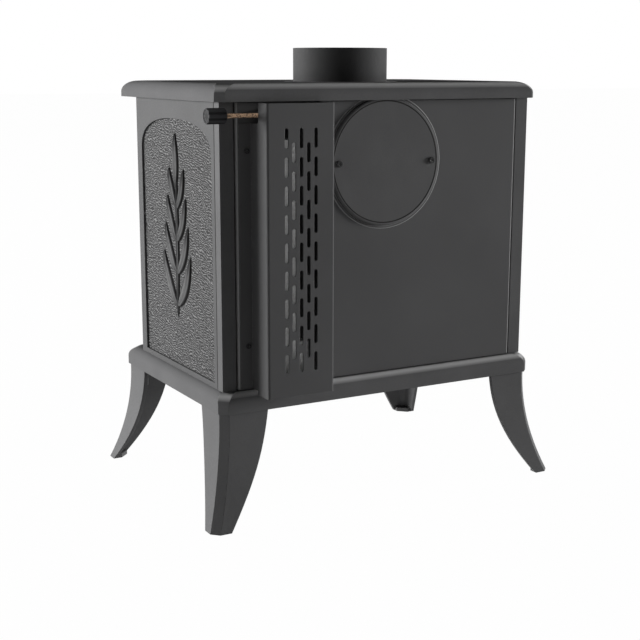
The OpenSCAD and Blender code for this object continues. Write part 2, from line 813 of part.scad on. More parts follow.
box_side = 8;           // gap between the air box and the cover's outer wall
box_up = 7.5;           // height of the air box over the base plate
box_x1 = cover_x1 - box_side;
box_x0 = box_x1 - box_w;
box_y = shield_y + box_d;
box_z0 = body_z + box_up;
box_z1 = top_z - box_down;
box_foot_w = 20;        // how much wider the air box is over the inlet
box_foot_z = inlet_z[1] + 4;
box_mid = (box_x0 + box_x1) / 2;
rod_y0 = shield_y + rod_out;
rod_z = top_z - rod_down;
ear_t = 3;
ear_r = 11;
ear_out = 27;           // distance of the inner ear from the air box
ear_in = 44;            // distance of the outer ear from the air box's inner wall
ear_x = [box_x0 - ear_out, box_x0 + ear_in];
ear_base_t = 2;
clip_t = 1;
clip_d = 14;
shutter_turns = 8;       // turns of the knob from shut to open
shutter_travel = shutter_turns * rod_pitch;
shutter_x0 = box_x0 + 1;
shutter_x1 = box_x1 - shutter_travel - 2;
lug_x = box_x0 + 12;
lug_w = 20;
slot_end = 5;           // sheet left at each end of the shutter's slots
rod_end = 4;            // length of the rod past the inner ear

module air_box() {
    color(sheet_iron) difference() {
        union() {
            block([box_x0, shield_y, box_z0], [box_x1, box_y, box_z1]);
            block([box_x0 - box_foot_w, shield_y, box_z0], [box_x1, box_y, box_foot_z]);
        }
        block(
            [box_x0 + sheet_t, shield_y - 1, box_z0 + sheet_t],
            [box_x1 - sheet_t, box_y - sheet_t, box_z1 - sheet_t]
        );
        block(
            [box_x0 - box_foot_w + sheet_t, shield_y - 1, box_z0 + sheet_t],
            [box_x1 - sheet_t, box_y - sheet_t, box_foot_z - sheet_t]
        );
        shutter_slot_cuts(box_mid, box_z1);
    }
}

// Slots through a sheet whose upper face lies at z
module shutter_slot_cuts(mid, z) {
    half = (shutter_slots - 1) / 2;
    for (i = [-half:half]) {
        x = mid + i * 2 * shutter_slot_w;
        block(
            [x - shutter_slot_w / 2, shield_y + slot_end, z - 2 * sheet_t],
            [x + shutter_slot_w / 2, box_y - slot_end, z + 2 * sheet_t]
        );
    }
}

module air_shutter() {
    z0 = box_z1 + run;
    color(sheet_iron) difference() {
        union() {
            block([shutter_x0, shield_y + 1, z0], [shutter_x1, box_y - 1, z0 + sheet_t]);
            block([lug_x, rod_y0 - lug_w / 2, z0], [lug_x + sheet_t, rod_y0 + lug_w / 2, rod_z + lug_w / 2]);
        }
        shutter_slot_cuts(box_mid - shutter_slot_w, z0 + sheet_t);
        rod_x(rod_y0, rod_z, lug_x - 1, lug_x + sheet_t + 1, rod_d + 2 * run);
    }
}

module travelling_nut() {
    color(steel) difference() {
        translate([lug_x + sheet_t, rod_y0, rod_z]) rotate([0, 90, 0]) {
            cylinder(h = nut_h, d = nut_w / cos(30), $fn = 6);
        }
        rod_x(rod_y0, rod_z, lug_x, lug_x + sheet_t + nut_h + 1, rod_d + 2 * fit);
    }
}

module rod_bracket() {
    color(sheet_iron) difference() {
        union() {
            block(
                [ear_x[0], shield_y, rod_z - ear_r],
                [ear_x[1] + ear_t, shield_y + ear_base_t, rod_z + ear_r]
            );
            for (x = ear_x) {
                block([x, shield_y, rod_z - ear_r], [x + ear_t, rod_y0, rod_z + ear_r]);
                rod_x(rod_y0, rod_z, x, x + ear_t, 2 * ear_r);
            }
        }
        for (x = ear_x) rod_x(rod_y0, rod_z, x - 1, x + ear_t + 1, rod_d + 2 * fit);
    }
}

knob_x = side_x + knob_gap;
knob_cap = 3;   // knob material beyond the rod's end

module control_rod() {
    color(brass) rod_x(rod_y0, rod_z, ear_x[0] - rod_end, knob_x + knob_l - knob_cap, rod_d);
}

module rod_clips() {
    color(steel) for (x = [ear_x[1] - run - clip_t, ear_x[1] + ear_t + run]) difference() {
        rod_x(rod_y0, rod_z, x, x + clip_t, clip_d);
        rod_x(rod_y0, rod_z, x - 1, x + clip_t + 1, rod_d + 2 * fit);
    }
}

// A fluted knob along X
module control_knob() {
    flute_r = PI * knob_d / knob_flutes / 5;
    face_t = 2;
    face_in = 2;
    color(dark_iron) difference() {
        union() {
            rod_x(rod_y0, rod_z, knob_x, knob_x + knob_l - face_t, knob_d);
            rod_x(rod_y0, rod_z, knob_x, knob_x + knob_l, knob_d - 2 * face_in);
        }
        rod_x(rod_y0, rod_z, knob_x - 1, knob_x + knob_l - knob_cap, rod_d + 2 * fit);
        for (i = [0:knob_flutes - 1]) translate([0, rod_y0, rod_z]) rotate([360 * i / knob_flutes, 0, 0]) {
            rod_x(0, knob_d / 2 + 0.2 * flute_r, knob_x + 3, knob_x + knob_l + 1, 2 * flute_r);
        }
    }
}

// ---------------------------------------------------------------- front frame and door

sill_z = body_z + sill_h;
crown_z = top_z - lintel_h;
opening_x = opening_w / 2;
ash_x = ash_w / 2;
ash_z0 = body_z + 2.5;
ash_z1 = ash_z0 + ash_h;
sill_lap = 14;
door_x = opening_x + door_lap;
door_z0 = sill_z - sill_lap;
door_crown = crown_z + door_lap;
door_back_y = frame_y - door_gap;
door_front_y = door_back_y - door_t;
lug_r = 9;
pin_x = -door_x - lug_r - 1;
pin_y = frame_y - lug_r - 1;
lug_h = 15;
knuckle_h = 25;
pin_head_h = 3;
hinge_foot = 20;      // height of the lower hinge over the door's sill
hinge_span = 170;     // upright distance between the hinges
hinge_z = [sill_z + hinge_foot, sill_z + hinge_foot + hinge_span];
air_hole_d = 12;
air_hole_pitch = 30;
slider_z = top_z - 18;
slider_h = 18;
slider_x = 90;
slider_t = 3;
slider_screw_x = 75;
slider_screw_d = 4;
slider_screw_l = 7;   // length of the slider screws in the front frame
slider_travel = 15;
riddle_x = opening_x + 40;
riddle_d = 8;
grate_z1 = sill_z - 3.5;
grate_z0 = grate_z1 - grate_t;
riddle_t = 6;
riddle_z = grate_z0 - run - riddle_d / 2;

module front_frame() {
    color(iron) difference() {
        union() {
            block([-frame_x, frame_y, body_z], [frame_x, front_y, top_z]);
            for (z = hinge_z) {
                translate([pin_x, pin_y, z]) cylinder(h = lug_h, r = lug_r);
                block([pin_x - lug_r, pin_y, z], [pin_x + lug_r, frame_y + 1, z + lug_h]);
            }
        }
        along_y(frame_y - 1, front_y + 1) {
            arched_outline(-opening_x, opening_x, sill_z, crown_z, door_rise);
        }
        block([-ash_x, frame_y - 1, ash_z0], [ash_x, front_y + 1, ash_z1]);
        for (z = hinge_z) translate([pin_x, pin_y, z - 1]) cylinder(h = lug_h + 2, d = pin_d + 2 * fit);
        for (i = [-1.5:1.5]) rod_y(i * air_hole_pitch, slider_z, frame_y - 1, front_y + 1, air_hole_d);
        for (x = [-slider_screw_x, slider_screw_x]) {
            rod_y(x, slider_z, frame_y - 1, frame_y + slider_screw_l + 1, slider_screw_d + 2 * fit);
        }
        rod_y(riddle_x, riddle_z, frame_y - 1, front_y + 1, riddle_d + 2 * fit);
    }
}

glass_lap = 8;
glass_gasket_t = 2;
clip_h = 18;
clip_w = 25;
glass_clip_t = 2;
glass_screw_d = 4;
glass_screw_l = 7;      // length of the glass screws in the door
clip_slack = 0.5;       // gap round a clip in its pocket
glass_x = door_x - door_border;
glass_z0 = door_z0 + door_border;
glass_crown = door_crown - door_border;
glass_rise = door_rise - 10;
rebate_y = door_back_y - glass_clip_t - 1 - glass_t - glass_gasket_t;
glass_y = rebate_y + glass_gasket_t;
clip_y = glass_y + glass_t;
clip_foot = 45;         // height of the lower glass clips over the glass opening's foot
clip_head = 75;         // distance of the upper glass clips below its crown
clip_z = [glass_z0 + clip_foot, glass_crown - clip_head];
clip_x0 = glass_x - 2;
clip_screw_x = glass_x + 15;
rope_in = 3;
rope_depth = 6;
spindle_x = glass_x + 15;
spindle_z = (clip_z[0] + clip_z[1]) / 2;

// The outline of the rope gasket's inner edge, grown by an amount
module rope_outline(grow) {
    arched_outline(
        -opening_x - rope_in - grow, opening_x + rope_in + grow,
        sill_z - rope_in - grow, crown_z + rope_in + grow, door_rise + rope_in + grow
    );
}

// The outline of the glass opening, grown by an amount
module glass_outline(grow) {
    arched_outline(-glass_x - grow, glass_x + grow, glass_z0 - grow, glass_crown + grow, glass_rise + grow);
}

module rope_ring() {
    difference() {
        rope_outline(rope_d);
        rope_outline(0);
    }
}

module door() {
    bead = 6;
    color(iron) difference() {
        union() {
            along_y(door_front_y, door_back_y) {
                arched_outline(-door_x, door_x, door_z0, door_crown, door_rise + door_lap);
            }
            for (z = hinge_z) {
                z0 = z + lug_h + run;
                translate([pin_x, pin_y, z0]) cylinder(h = knuckle_h, r = lug_r);
                block([pin_x, pin_y - lug_r, z0], [-door_x + 1, door_back_y, z0 + knuckle_h]);
            }
        }
        along_y(door_front_y - 1, door_back_y + 1) glass_outline(0);
        along_y(door_front_y - 1, door_front_y + recess_w) glass_outline(bead);
        along_y(rebate_y, door_back_y + 1) glass_outline(glass_lap);
        along_y(door_back_y - rope_depth, door_back_y + 1) rope_ring();
        for (side = [-1, 1], z = clip_z) {
            translate([side * (clip_x0 + clip_w / 2), 0, z]) {
                block(
                    [-clip_w / 2 - 2 * clip_slack, clip_y, -clip_h / 2 - clip_slack],
                    [clip_w / 2 + 2 * clip_slack, door_back_y + 1, clip_h / 2 + clip_slack]
                );
            }
            rod_y(side * clip_screw_x, z, clip_y - glass_screw_l - 1, clip_y + 1, glass_screw_d + 2 * fit);
        }
        for (z = hinge_z) translate([pin_x, pin_y, z]) {
            cylinder(h = lug_h + knuckle_h + 2, d = pin_d + 2 * fit);
        }
        rod_y(spindle_x, spindle_z, door_front_y - 1, door_back_y + 1, spindle_d + 2 * fit);
    }
}

module door_glass() {
    color("#1c1c1e") along_y(glass_y, glass_y + glass_t) glass_outline(glass_lap - 1);
}

module glass_gasket() {
    color(rope_grey) along_y(rebate_y, rebate_y + glass_gasket_t) difference() {
        glass_outline(glass_lap - 1);
        glass_outline(1);
    }
}

module glass_clips() {
    color(steel) difference() {
        for (side = [-1, 1], z = clip_z) translate([side * (clip_x0 + clip_w / 2), 0, z]) {
            block([-clip_w / 2, clip_y, -clip_h / 2], [clip_w / 2, clip_y + glass_clip_t, clip_h / 2]);
        }
        for (side = [-1, 1], z = clip_z) {
            rod_y(side * clip_screw_x, z, clip_y - 1, clip_y + 2 * glass_clip_t, glass_screw_d + 2 * fit);
        }
    }
}

module glass_screws() {
    color(steel) for (side = [-1, 1], z = clip_z) {
        screw_y(side * clip_screw_x, z, clip_y - glass_screw_l, clip_y + glass_clip_t, glass_screw_d);
    }
}

module door_rope_gasket() {
    color(rope_grey) along_y(door_back_y - rope_depth, frame_y - run) rope_ring();
}

module hinge_pins() {
    stack_h = lug_h + knuckle_h + 2 * run;
    color(steel) for (z = hinge_z) translate([pin_x, pin_y, z]) {
        cylinder(h = stack_h + pin_head_h, d = pin_d);
        translate([0, 0, stack_h]) cylinder(h = pin_head_h, d = pin_d + 2 * pin_head_h);
    }
}

hub_d = 24;
hub_l = 16;
hub_y1 = door_front_y - 1;
hub_y0 = hub_y1 - hub_l;
hub_skin = 4;      // iron over the spindle's front end
neck_w = 12;
neck_l = 30;
neck_in = 6;       // depth of the neck in the hub
grip_y = hub_y0 - grip_d / 2 + 2;
cam_t = 6;
cam_y0 = front_y + 0.7;
cam_l = 30;
cam_w = 14;

module handle_spindle() {
    color(steel) rod_y(spindle_x, spindle_z, hub_y0 + hub_skin, cam_y0 + cam_t + 2, spindle_d);
}

module handle_grip() {
    color(dark_iron) difference() {
        union() {
            rod_y(spindle_x, spindle_z, hub_y0, hub_y1, hub_d);
            block(
                [spindle_x - neck_w / 2, grip_y, spindle_z - neck_l],
                [spindle_x + neck_w / 2, hub_y0 + neck_in, spindle_z]
            );
            translate([spindle_x, grip_y, spindle_z - grip_l]) cylinder(h = grip_l, d = grip_d);
            translate([spindle_x, grip_y, spindle_z - grip_l]) sphere(d = grip_d);
            translate([spindle_x, grip_y, spindle_z]) sphere(d = grip_d);
        }
        rod_y(spindle_x, spindle_z, hub_y0 + hub_skin, hub_y1 + 1, spindle_d + 2 * fit);
    }
}

module latch_cam() {
    color(steel) difference() {
        union() {
            rod_y(spindle_x, spindle_z, cam_y0, cam_y0 + cam_t, cam_w + 4);
            block(
                [spindle_x - cam_w / 2, cam_y0, spindle_z],
                [spindle_x + cam_w / 2, cam_y0 + cam_t, spindle_z + cam_l]
            );
        }
        rod_y(spindle_x, spindle_z, cam_y0 - 1, cam_y0 + cam_t + 1, spindle_d + 2 * fit);
    }
}

// ---------------------------------------------------------------- ash drawer

ash_lap_side = 8;
ash_lap_top = 4;
ash_back_y = frame_y - run;
ash_front_y = ash_back_y - ash_front_t;
runner_h = 4.5;
runner_w = 12;
runner_rear = 30;   // distance of the runners from the rear posts
pan_x = ash_x - 8;
runner_x = 0.75 * pan_x;
pan_z0 = body_z + runner_h + run;
pan_h = 68;
ash_screw_d = 5;
ash_screw_x = 90;
ash_screw_l = 3;    // length of the ash screws in the front casting
ash_knob_l = 30;
ash_mid_z = (ash_z0 + ash_z1) / 2;

module ash_runners() {
    color(steel) for (x = [-runner_x, runner_x]) {
        block(
            [x - runner_w / 2, front_y + 4, body_z],
            [x + runner_w / 2, post_y - runner_rear, body_z + runner_h]
        );
    }
}

module ash_pan() {
    color(sheet_iron) difference() {
        block([-pan_x, ash_back_y, pan_z0], [pan_x, ash_back_y + ash_d, pan_z0 + pan_h]);
        block(
            [-pan_x + pan_t, ash_back_y + pan_t, pan_z0 + pan_t],
            [pan_x - pan_t, ash_back_y + ash_d - pan_t, pan_z0 + pan_h + 1]
        );
        for (x = [-ash_screw_x, ash_screw_x]) {
            rod_y(x, ash_mid_z, ash_back_y - 1, ash_back_y + pan_t + 1, ash_screw_d + 2 * fit);
        }
    }
}

module ash_front() {
    color(iron) difference() {
        block(
            [-ash_x - ash_lap_side, ash_front_y, body_z + 1],
            [ash_x + ash_lap_side, ash_back_y, ash_z1 + ash_lap_top]
        );
        block(
            [-ash_x + ash_lap_side, ash_front_y - 1, ash_z0 + 2 * ash_lap_side],
            [ash_x - ash_lap_side, ash_front_y + recess_w, ash_z1 - ash_lap_side]
        );
        for (x = [-ash_screw_x, ash_screw_x]) {
            rod_y(x, ash_mid_z, ash_back_y - ash_screw_l - 1, ash_back_y + 1, ash_screw_d + 2 * fit);
        }
        rod_y(0, ash_mid_z, ash_front_y - 1, ash_front_y + recess_w, hub_d + 2 * recess_w);
    }
}

module ash_front_screws() {
    color(steel) for (x = [-ash_screw_x, ash_screw_x]) {
        screw_y(x, ash_mid_z, ash_back_y - ash_screw_l, ash_back_y + pan_t, ash_screw_d);
    }
}

// A small turned knob standing on the plane Y = y1, towards -Y
module turned_knob(x, z, y1, d, l) {
    translate([x, y1, z]) rotate([90, 0, 0]) rotate_extrude() union() {
        square([0.3 * d, l - 0.1 * d]);
        square([0.45 * d, 0.12 * d]);
        translate([0, l - 0.45 * d]) square([0.4 * d, 0.45 * d]);
        translate([0.4 * d, l - 0.35 * d]) square([0.1 * d, 0.25 * d]);
        translate([0.4 * d, l - 0.35 * d]) circle(0.1 * d);
        translate([0.4 * d, l - 0.1 * d]) circle(0.1 * d);
    }
}

module ash_knob() {
    color(dark_iron) turned_knob(0, ash_mid_z, ash_front_y + recess_w, small_knob_d, ash_knob_l);
}

// ---------------------------------------------------------------- air-wash slider

module air_slider() {
    y1 = frame_y - run;
    color(steel) difference() {
        block([-slider_x, y1 - slider_t, slider_z - slider_h / 2], [slider_x, y1, slider_z + slider_h / 2]);
        for (i = [-1.5:1.5]) {
            rod_y(i * air_hole_pitch - slider_travel, slider_z, y1 - slider_t - 1, y1 + 1, air_hole_d);
        }
        for (x = [-slider_screw_x, slider_screw_x]) {
            block(
                [x - slider_travel - slider_screw_d, y1 - slider_t - 1, slider_z - slider_screw_d / 2 - run],
                [x + slider_screw_d, y1 + 1, slider_z + slider_screw_d / 2 + run]
            );
        }
    }
}

module air_slider_screws() {
    y0 = frame_y - 2 * run - slider_t;
    color(steel) mirror([0, 1, 0]) for (x = [-slider_screw_x, slider_screw_x]) {
        screw_y(x, slider_z, -frame_y - slider_screw_l, -y0, slider_screw_d);
    }
}

module air_slider_knob() {
    color(dark_iron) {
        turned_knob(0, slider_z, frame_y - run - slider_t, 0.6 * small_knob_d, 0.7 * small_knob_d);
    }
}

// ---------------------------------------------------------------- fire chamber

liner_front = 25;     // distance of the side liners from the side panels' front edge
liner_rear = 21;      // distance of the side liners from the rear posts
liner_y0 = front_y + liner_front;
liner_y1 = post_y - liner_rear;
back_liner_x = panel_in_x - liner_t - 1;
back_liner_y0 = back_in_y - liner_t;
grate_slots = 8;
grate_slot_w = 10;
grate_slot_l = 200;
grate_pitch = 22;
grate_leg_t = 12;
grate_y = body_y - 6;   // middle of the grate's slots
riddle_travel = 11;
riddle_lip = 15;      // width of the riddling plate beyond its slots
riddle_in = 12;       // length of the riddling rod in its knob
riddle_arm_w = 16;
riddle_knob_y = frame_y - 4;

// Slots through a plate between two heights
module grate_cuts(shift, z0, z1) {
    for (i = [0:grate_slots - 1]) {
        y = grate_y + (i - (grate_slots - 1) / 2) * grate_pitch + shift;
        block(
            [-grate_slot_l / 2, y - grate_slot_w / 2, z0 - 1],
            [grate_slot_l / 2, y + grate_slot_w / 2, z1 + 1]
        );
    }
}

module grate() {
    x1 = panel_in_x - run;
    color(dark_iron) difference() {
        union() {
            block([-x1, liner_y0, grate_z0], [x1, liner_y1, grate_z1]);
            block([-back_liner_x, front_y + 5, grate_z0], [back_liner_x, back_in_y - run, grate_z1]);
            for (x = [-x1, x1 - grate_leg_t]) {
                block([x, liner_y0, body_z], [x + grate_leg_t, liner_y1, grate_z0 + 1]);
            }
        }
        grate_cuts(0, grate_z0, grate_z1);
    }
}

module riddling_plate() {
    half_x = grate_slot_l / 2 + riddle_lip;
    half_y = grate_slots * grate_pitch / 2;
    arm_y = grate_y - half_y;
    z0 = grate_z0 - run - riddle_t;
    color(dark_iron) union() {
        difference() {
            block([-half_x, arm_y, z0], [half_x, grate_y + half_y, z0 + riddle_t]);
            grate_cuts(riddle_travel, z0, z0 + riddle_t);
        }
        block([half_x - 1, arm_y, z0], [riddle_x + riddle_d / 2, arm_y + riddle_arm_w, z0 + riddle_t]);
        rod_y(riddle_x, riddle_z, riddle_knob_y - riddle_in, arm_y + riddle_arm_w, riddle_d);
    }
}

module riddling_knob() {
    color(dark_iron) difference() {
        turned_knob(riddle_x, riddle_z, riddle_knob_y, small_knob_d, ash_knob_l);
        rod_y(riddle_x, riddle_z, riddle_knob_y - riddle_in, riddle_knob_y + 1, riddle_d + 2 * fit);
    }
}

module side_liner(side) {
    x0 = side > 0 ? panel_in_x - liner_t : -panel_in_x;
    color(liner_stone) block([x0, liner_y0, grate_z1], [x0 + liner_t, liner_y1, grate_z1 + liner_h]);
}

module side_liner_left() { side_liner(-1); }
module side_liner_right() { side_liner(1); }

module back_liner() {
    color(liner_stone) {
        block([-back_liner_x, back_liner_y0, grate_z1], [back_liner_x, back_in_y, grate_z1 + back_liner_h]);
    }
}

smoke_gap = 105;   // way for the smoke in front of the baffle plate

module baffle_plate() {
    z0 = grate_z1 + liner_h;
    x1 = tie_x - tie_d / 2 - 2;
    color(liner_stone) block([-x1, front_y + smoke_gap, z0], [x1, back_in_y - run, z0 + baffle_t]);
}

module log_guard() {
    bar = 14;
    guard_h = 50;
    guard_t = 8;
    windows = 7;
    half_w = glass_x / windows - bar / 2;
    color(dark_iron) translate([0, tie_front_y, grate_z1]) difference() {
        block([-glass_x, 0, 0], [glass_x, guard_t, guard_h]);
        for (i = [0:windows - 1]) {
            x = (i - (windows - 1) / 2) * (2 * glass_x - bar) / windows;
            block([x - half_w, -1, bar], [x + half_w, guard_t + 1, guard_h - bar]);
        }
    }
}

base_plate();
leg_front_left();
leg_front_right();
leg_rear_left();
leg_rear_right();
leg_bolts();
side_panel_left();
side_panel_right();
rear_plate();
front_frame();
top_plate();
tie_rods();
flue_collar();
flue_collar_gasket();
flue_collar_screws();
blanking_disc();
blanking_disc_gasket();
blanking_disc_screws();
rear_heat_shield();
channel_cover();
channel_cover_screws();
air_box();
air_shutter();
travelling_nut();
rod_bracket();
control_rod();
rod_clips();
control_knob();
grate();
riddling_plate();
riddling_knob();
side_liner_left();
side_liner_right();
back_liner();
baffle_plate();
log_guard();
door();
door_glass();
glass_gasket();
glass_clips();
glass_screws();
door_rope_gasket();
hinge_pins();
handle_spindle();
handle_grip();
latch_cam();
ash_pan();
ash_front();
ash_front_screws();
ash_knob();
ash_runners();
air_slider();
air_slider_knob();
air_slider_screws();
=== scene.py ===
"""A cast-iron box stove on curved legs: finishes, relief and studio."""
import json
import math

import bpy
from mathutils import Matrix, Vector, noise
from mathutils.bvhtree import BVHTree

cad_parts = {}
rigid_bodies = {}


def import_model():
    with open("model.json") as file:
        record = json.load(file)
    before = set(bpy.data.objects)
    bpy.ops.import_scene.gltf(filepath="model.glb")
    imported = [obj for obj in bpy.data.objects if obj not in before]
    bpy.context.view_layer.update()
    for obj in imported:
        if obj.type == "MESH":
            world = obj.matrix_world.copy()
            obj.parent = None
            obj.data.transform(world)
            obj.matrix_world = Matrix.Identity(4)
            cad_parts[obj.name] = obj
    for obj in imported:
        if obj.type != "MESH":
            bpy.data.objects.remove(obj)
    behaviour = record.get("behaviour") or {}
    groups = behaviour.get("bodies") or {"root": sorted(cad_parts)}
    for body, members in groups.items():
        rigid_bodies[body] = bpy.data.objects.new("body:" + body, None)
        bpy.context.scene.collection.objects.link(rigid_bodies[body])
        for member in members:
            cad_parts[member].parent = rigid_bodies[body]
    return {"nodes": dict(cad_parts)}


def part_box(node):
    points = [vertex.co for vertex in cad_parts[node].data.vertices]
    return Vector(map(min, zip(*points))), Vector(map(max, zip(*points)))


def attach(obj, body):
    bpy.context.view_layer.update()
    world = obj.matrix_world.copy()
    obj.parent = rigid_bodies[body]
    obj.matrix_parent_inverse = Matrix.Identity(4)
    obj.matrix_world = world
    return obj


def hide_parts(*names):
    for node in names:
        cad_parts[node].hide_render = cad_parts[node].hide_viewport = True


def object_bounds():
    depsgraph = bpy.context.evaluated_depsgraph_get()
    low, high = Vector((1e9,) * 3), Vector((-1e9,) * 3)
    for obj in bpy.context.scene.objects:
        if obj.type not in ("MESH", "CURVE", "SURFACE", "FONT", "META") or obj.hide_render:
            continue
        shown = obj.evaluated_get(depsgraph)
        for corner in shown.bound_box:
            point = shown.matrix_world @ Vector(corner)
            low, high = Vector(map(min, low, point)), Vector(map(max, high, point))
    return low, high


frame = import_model()
CAD_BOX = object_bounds()

bl_info = {
    "name": "Box Stove Finisher",
    "version": (1, 0, 0),
    "blender": (4, 5, 0),
    "location": "View3D > Sidebar > Stove",
    "description": "Dresses a cast-iron box stove: castings, bark panels, leaf relief, fittings and studio",
    "category": "Object",
}

MM = 0.001
WELD = 0.01 * MM         # points closer than this are merged
SUNK = 0.2 * MM          # how far the rim of a relief lies under the surface that it sits on
RIM = 0.0001             # a point nearer than this to 0 or 1 is on the rim of its grid
STOVE = "stove"


# ---------------------------------------------------------------- sizes taken from the frame

def low(node):
    """The lowest corner of a CAD node at rest."""
    return Vector(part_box(node)[0])


def high(node):
    """The highest corner of a CAD node at rest."""
    return Vector(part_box(node)[1])


# ---------------------------------------------------------------- settings

class StoveFinish(bpy.types.PropertyGroup):
    """Colours of the stove's finishes."""

    iron: bpy.props.FloatVectorProperty(
        name="Iron paint", description="Grey stove paint on the castings",
        subtype="COLOR", size=3, min=0, max=1, default=(0.150, 0.150, 0.152))
    # This colour serves the rubbed edges and also the painted highlights on the plates' top edges, the
    # sheet-metal bends and the relief crests.
    wear_and_highlight: bpy.props.FloatVectorProperty(
        name="Worn edge", description="Lighter paint on rubbed edges",
        subtype="COLOR", size=3, min=0, max=1, default=(0.30, 0.30, 0.30))
    sheet: bpy.props.FloatVectorProperty(
        name="Sheet paint", description="Matt paint on the sheet metal",
        subtype="COLOR", size=3, min=0, max=1, default=(0.140, 0.140, 0.142))
    knob: bpy.props.FloatVectorProperty(
        name="Knob", description="Dark satin finish of the knobs and the grip",
        subtype="COLOR", size=3, min=0, max=1, default=(0.040, 0.040, 0.042))
    brass: bpy.props.FloatVectorProperty(
        name="Threaded rod", description="Dull copper-coloured rod",
        subtype="COLOR", size=3, min=0, max=1, default=(0.42, 0.285, 0.185))


class StoveRelief(bpy.types.PropertyGroup):
    """Sizes of the cast relief on the side panels."""

    depth: bpy.props.FloatProperty(
        name="Recess depth", description="Depth of the arched recess in the side panels",
        subtype="DISTANCE", unit="LENGTH", default=4.5 * MM)
    border_front: bpy.props.FloatProperty(
        name="Front border", description="Plain border in front of the recess",
        subtype="DISTANCE", unit="LENGTH", default=22 * MM)
    border_rear: bpy.props.FloatProperty(
        name="Rear border", description="Plain border behind the recess",
        subtype="DISTANCE", unit="LENGTH", default=12 * MM)
    border_foot: bpy.props.FloatProperty(
        name="Lower border", description="Plain border under the recess",
        subtype="DISTANCE", unit="LENGTH", default=9 * MM)
    border_crown: bpy.props.FloatProperty(
        name="Crown border", description="Plain border over the crown of the arch",
        subtype="DISTANCE", unit="LENGTH", default=33 * MM)
    arch_rise: bpy.props.FloatProperty(
        name="Arch rise", description="Height of the arch over its springing",
        subtype="DISTANCE", unit="LENGTH", default=58 * MM)
    arch_power: bpy.props.FloatProperty(
        name="Arch squareness", description="2 is an ellipse", default=2.4)
    ripple: bpy.props.FloatProperty(
        name="Ripple pitch", description="Upright distance between the bark's ripples",
        subtype="DISTANCE", unit="LENGTH", default=4.3 * MM)
    moat: bpy.props.FloatProperty(
        name="Moat", description="Width of the smooth band round the leaves",
        subtype="DISTANCE", unit="LENGTH", default=4.0 * MM)
    sprig_foot: bpy.props.FloatProperty(
        name="Sprig foot", description="Height of the sprig's stem over the panel's foot",
        subtype="DISTANCE", unit="LENGTH", default=92 * MM)
    sprig_proud: bpy.props.FloatProperty(
        name="Sprig height", description="How far the leaves stand out of the side panel's plane",
        subtype="DISTANCE", unit="LENGTH", default=1.5 * MM)
    ripple_height: bpy.props.FloatProperty(
        name="Ripple height", description="Height of the bark's ripples",
        subtype="DISTANCE", unit="LENGTH", default=1.3 * MM)


class StoveStudio(bpy.types.PropertyGroup):
    """Camera and light."""

    camera_place: bpy.props.FloatVectorProperty(
        name="Camera place", description="Where the camera stands",
        subtype="TRANSLATION", unit="LENGTH", size=3, default=(1.14335, 2.00961, 0.76469))
    azimuth: bpy.props.FloatProperty(
        name="Azimuth", description="Direction of the camera round the stove, in degrees", default=150.66)
    elevation: bpy.props.FloatProperty(
        name="Elevation", description="Height angle of the camera, in degrees", default=11.71)
    roll: bpy.props.FloatProperty(
        name="Roll", description="Roll of the camera, in degrees", default=0.10)
    lens: bpy.props.FloatProperty(
        name="Lens", description="Focal length on a 36 mm sensor, in millimetres", default=69.35)
    key: bpy.props.FloatProperty(
        name="Key light", description="Strength of the light on the side panel", default=1.46)
    key_from: bpy.props.FloatVectorProperty(
        name="Key direction", description="Where the key light comes from",
        subtype="DIRECTION", size=3, default=(0.75, -0.66, 0.12))
    fill: bpy.props.FloatProperty(
        name="Fill light", description="Strength of the light on the back", default=0.84)
    fill_from: bpy.props.FloatVectorProperty(
        name="Fill direction", description="Where the fill light comes from",
        subtype="DIRECTION", size=3, default=(-0.96, 0.28, 0.10))
    ambient: bpy.props.FloatProperty(
        name="Ambient light", description="Strength of the even light from all round", default=0.045)
    floor_glow: bpy.props.FloatProperty(
        name="Floor glow", description="Share of the floor that shows as plain white",
        subtype="FACTOR", min=0, max=1, default=0.988)


# ---------------------------------------------------------------- mesh helpers

def clear_selection():
    """Nothing is selected or active."""
    if bpy.context.object and bpy.context.object.mode != "OBJECT":
        bpy.ops.object.mode_set(mode="OBJECT")
    bpy.ops.object.select_all(action="DESELECT")
    bpy.context.view_layer.objects.active = None


def sheet_piece(name, across, along, place, level=None):
    """A grid whose point at (u, v), both 0 to 1, lies at place(u, v) and holds level(u, v)."""
    clear_selection()
    bpy.ops.mesh.primitive_grid_add(x_subdivisions=across, y_subdivisions=along, size=1)
    piece = bpy.context.object
    piece.name = name
    spots = [(vertex.co.x + 0.5, vertex.co.y + 0.5) for vertex in piece.data.vertices]
    for vertex, spot in zip(piece.data.vertices, spots):
        vertex.co = place(*spot)
    if level:
        levels = piece.data.attributes.new("level", "FLOAT", "POINT").data
        for value, spot in zip(levels, spots):
            value.value = level(*spot)
    return piece


def close_piece(piece, caps=True, angle=40):
    """Merges the seam, closes the ends, turns the faces outwards and smooths them."""
    bpy.context.view_layer.objects.active = piece
    piece.select_set(True)
    bpy.ops.object.mode_set(mode="EDIT")
    bpy.ops.mesh.select_all(action="SELECT")
    bpy.ops.mesh.remove_doubles(threshold=WELD)
    if caps:
        bpy.ops.mesh.fill_holes(sides=0)
        bpy.ops.mesh.select_all(action="SELECT")
        bpy.ops.mesh.normals_make_consistent(inside=False)
    bpy.ops.object.mode_set(mode="OBJECT")
    bpy.ops.object.shade_smooth_by_angle(angle=math.radians(angle))
    return piece


def join_pieces(name, pieces):
    """Joins pieces into one."""
    clear_selection()
    for piece in pieces:
        piece.select_set(True)
    bpy.context.view_layer.objects.active = pieces[0]
    bpy.ops.object.join()
    bpy.ops.object.transform_apply(location=True, rotation=True, scale=True)
    pieces[0].name = name
    return pieces[0]


def ride(piece, material, body=STOVE):
    """Puts a finished piece on its body and its material."""
    piece.data.materials.clear()
    piece.data.materials.append(material)
    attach(piece, body)


# ---------------------------------------------------------------- material helpers

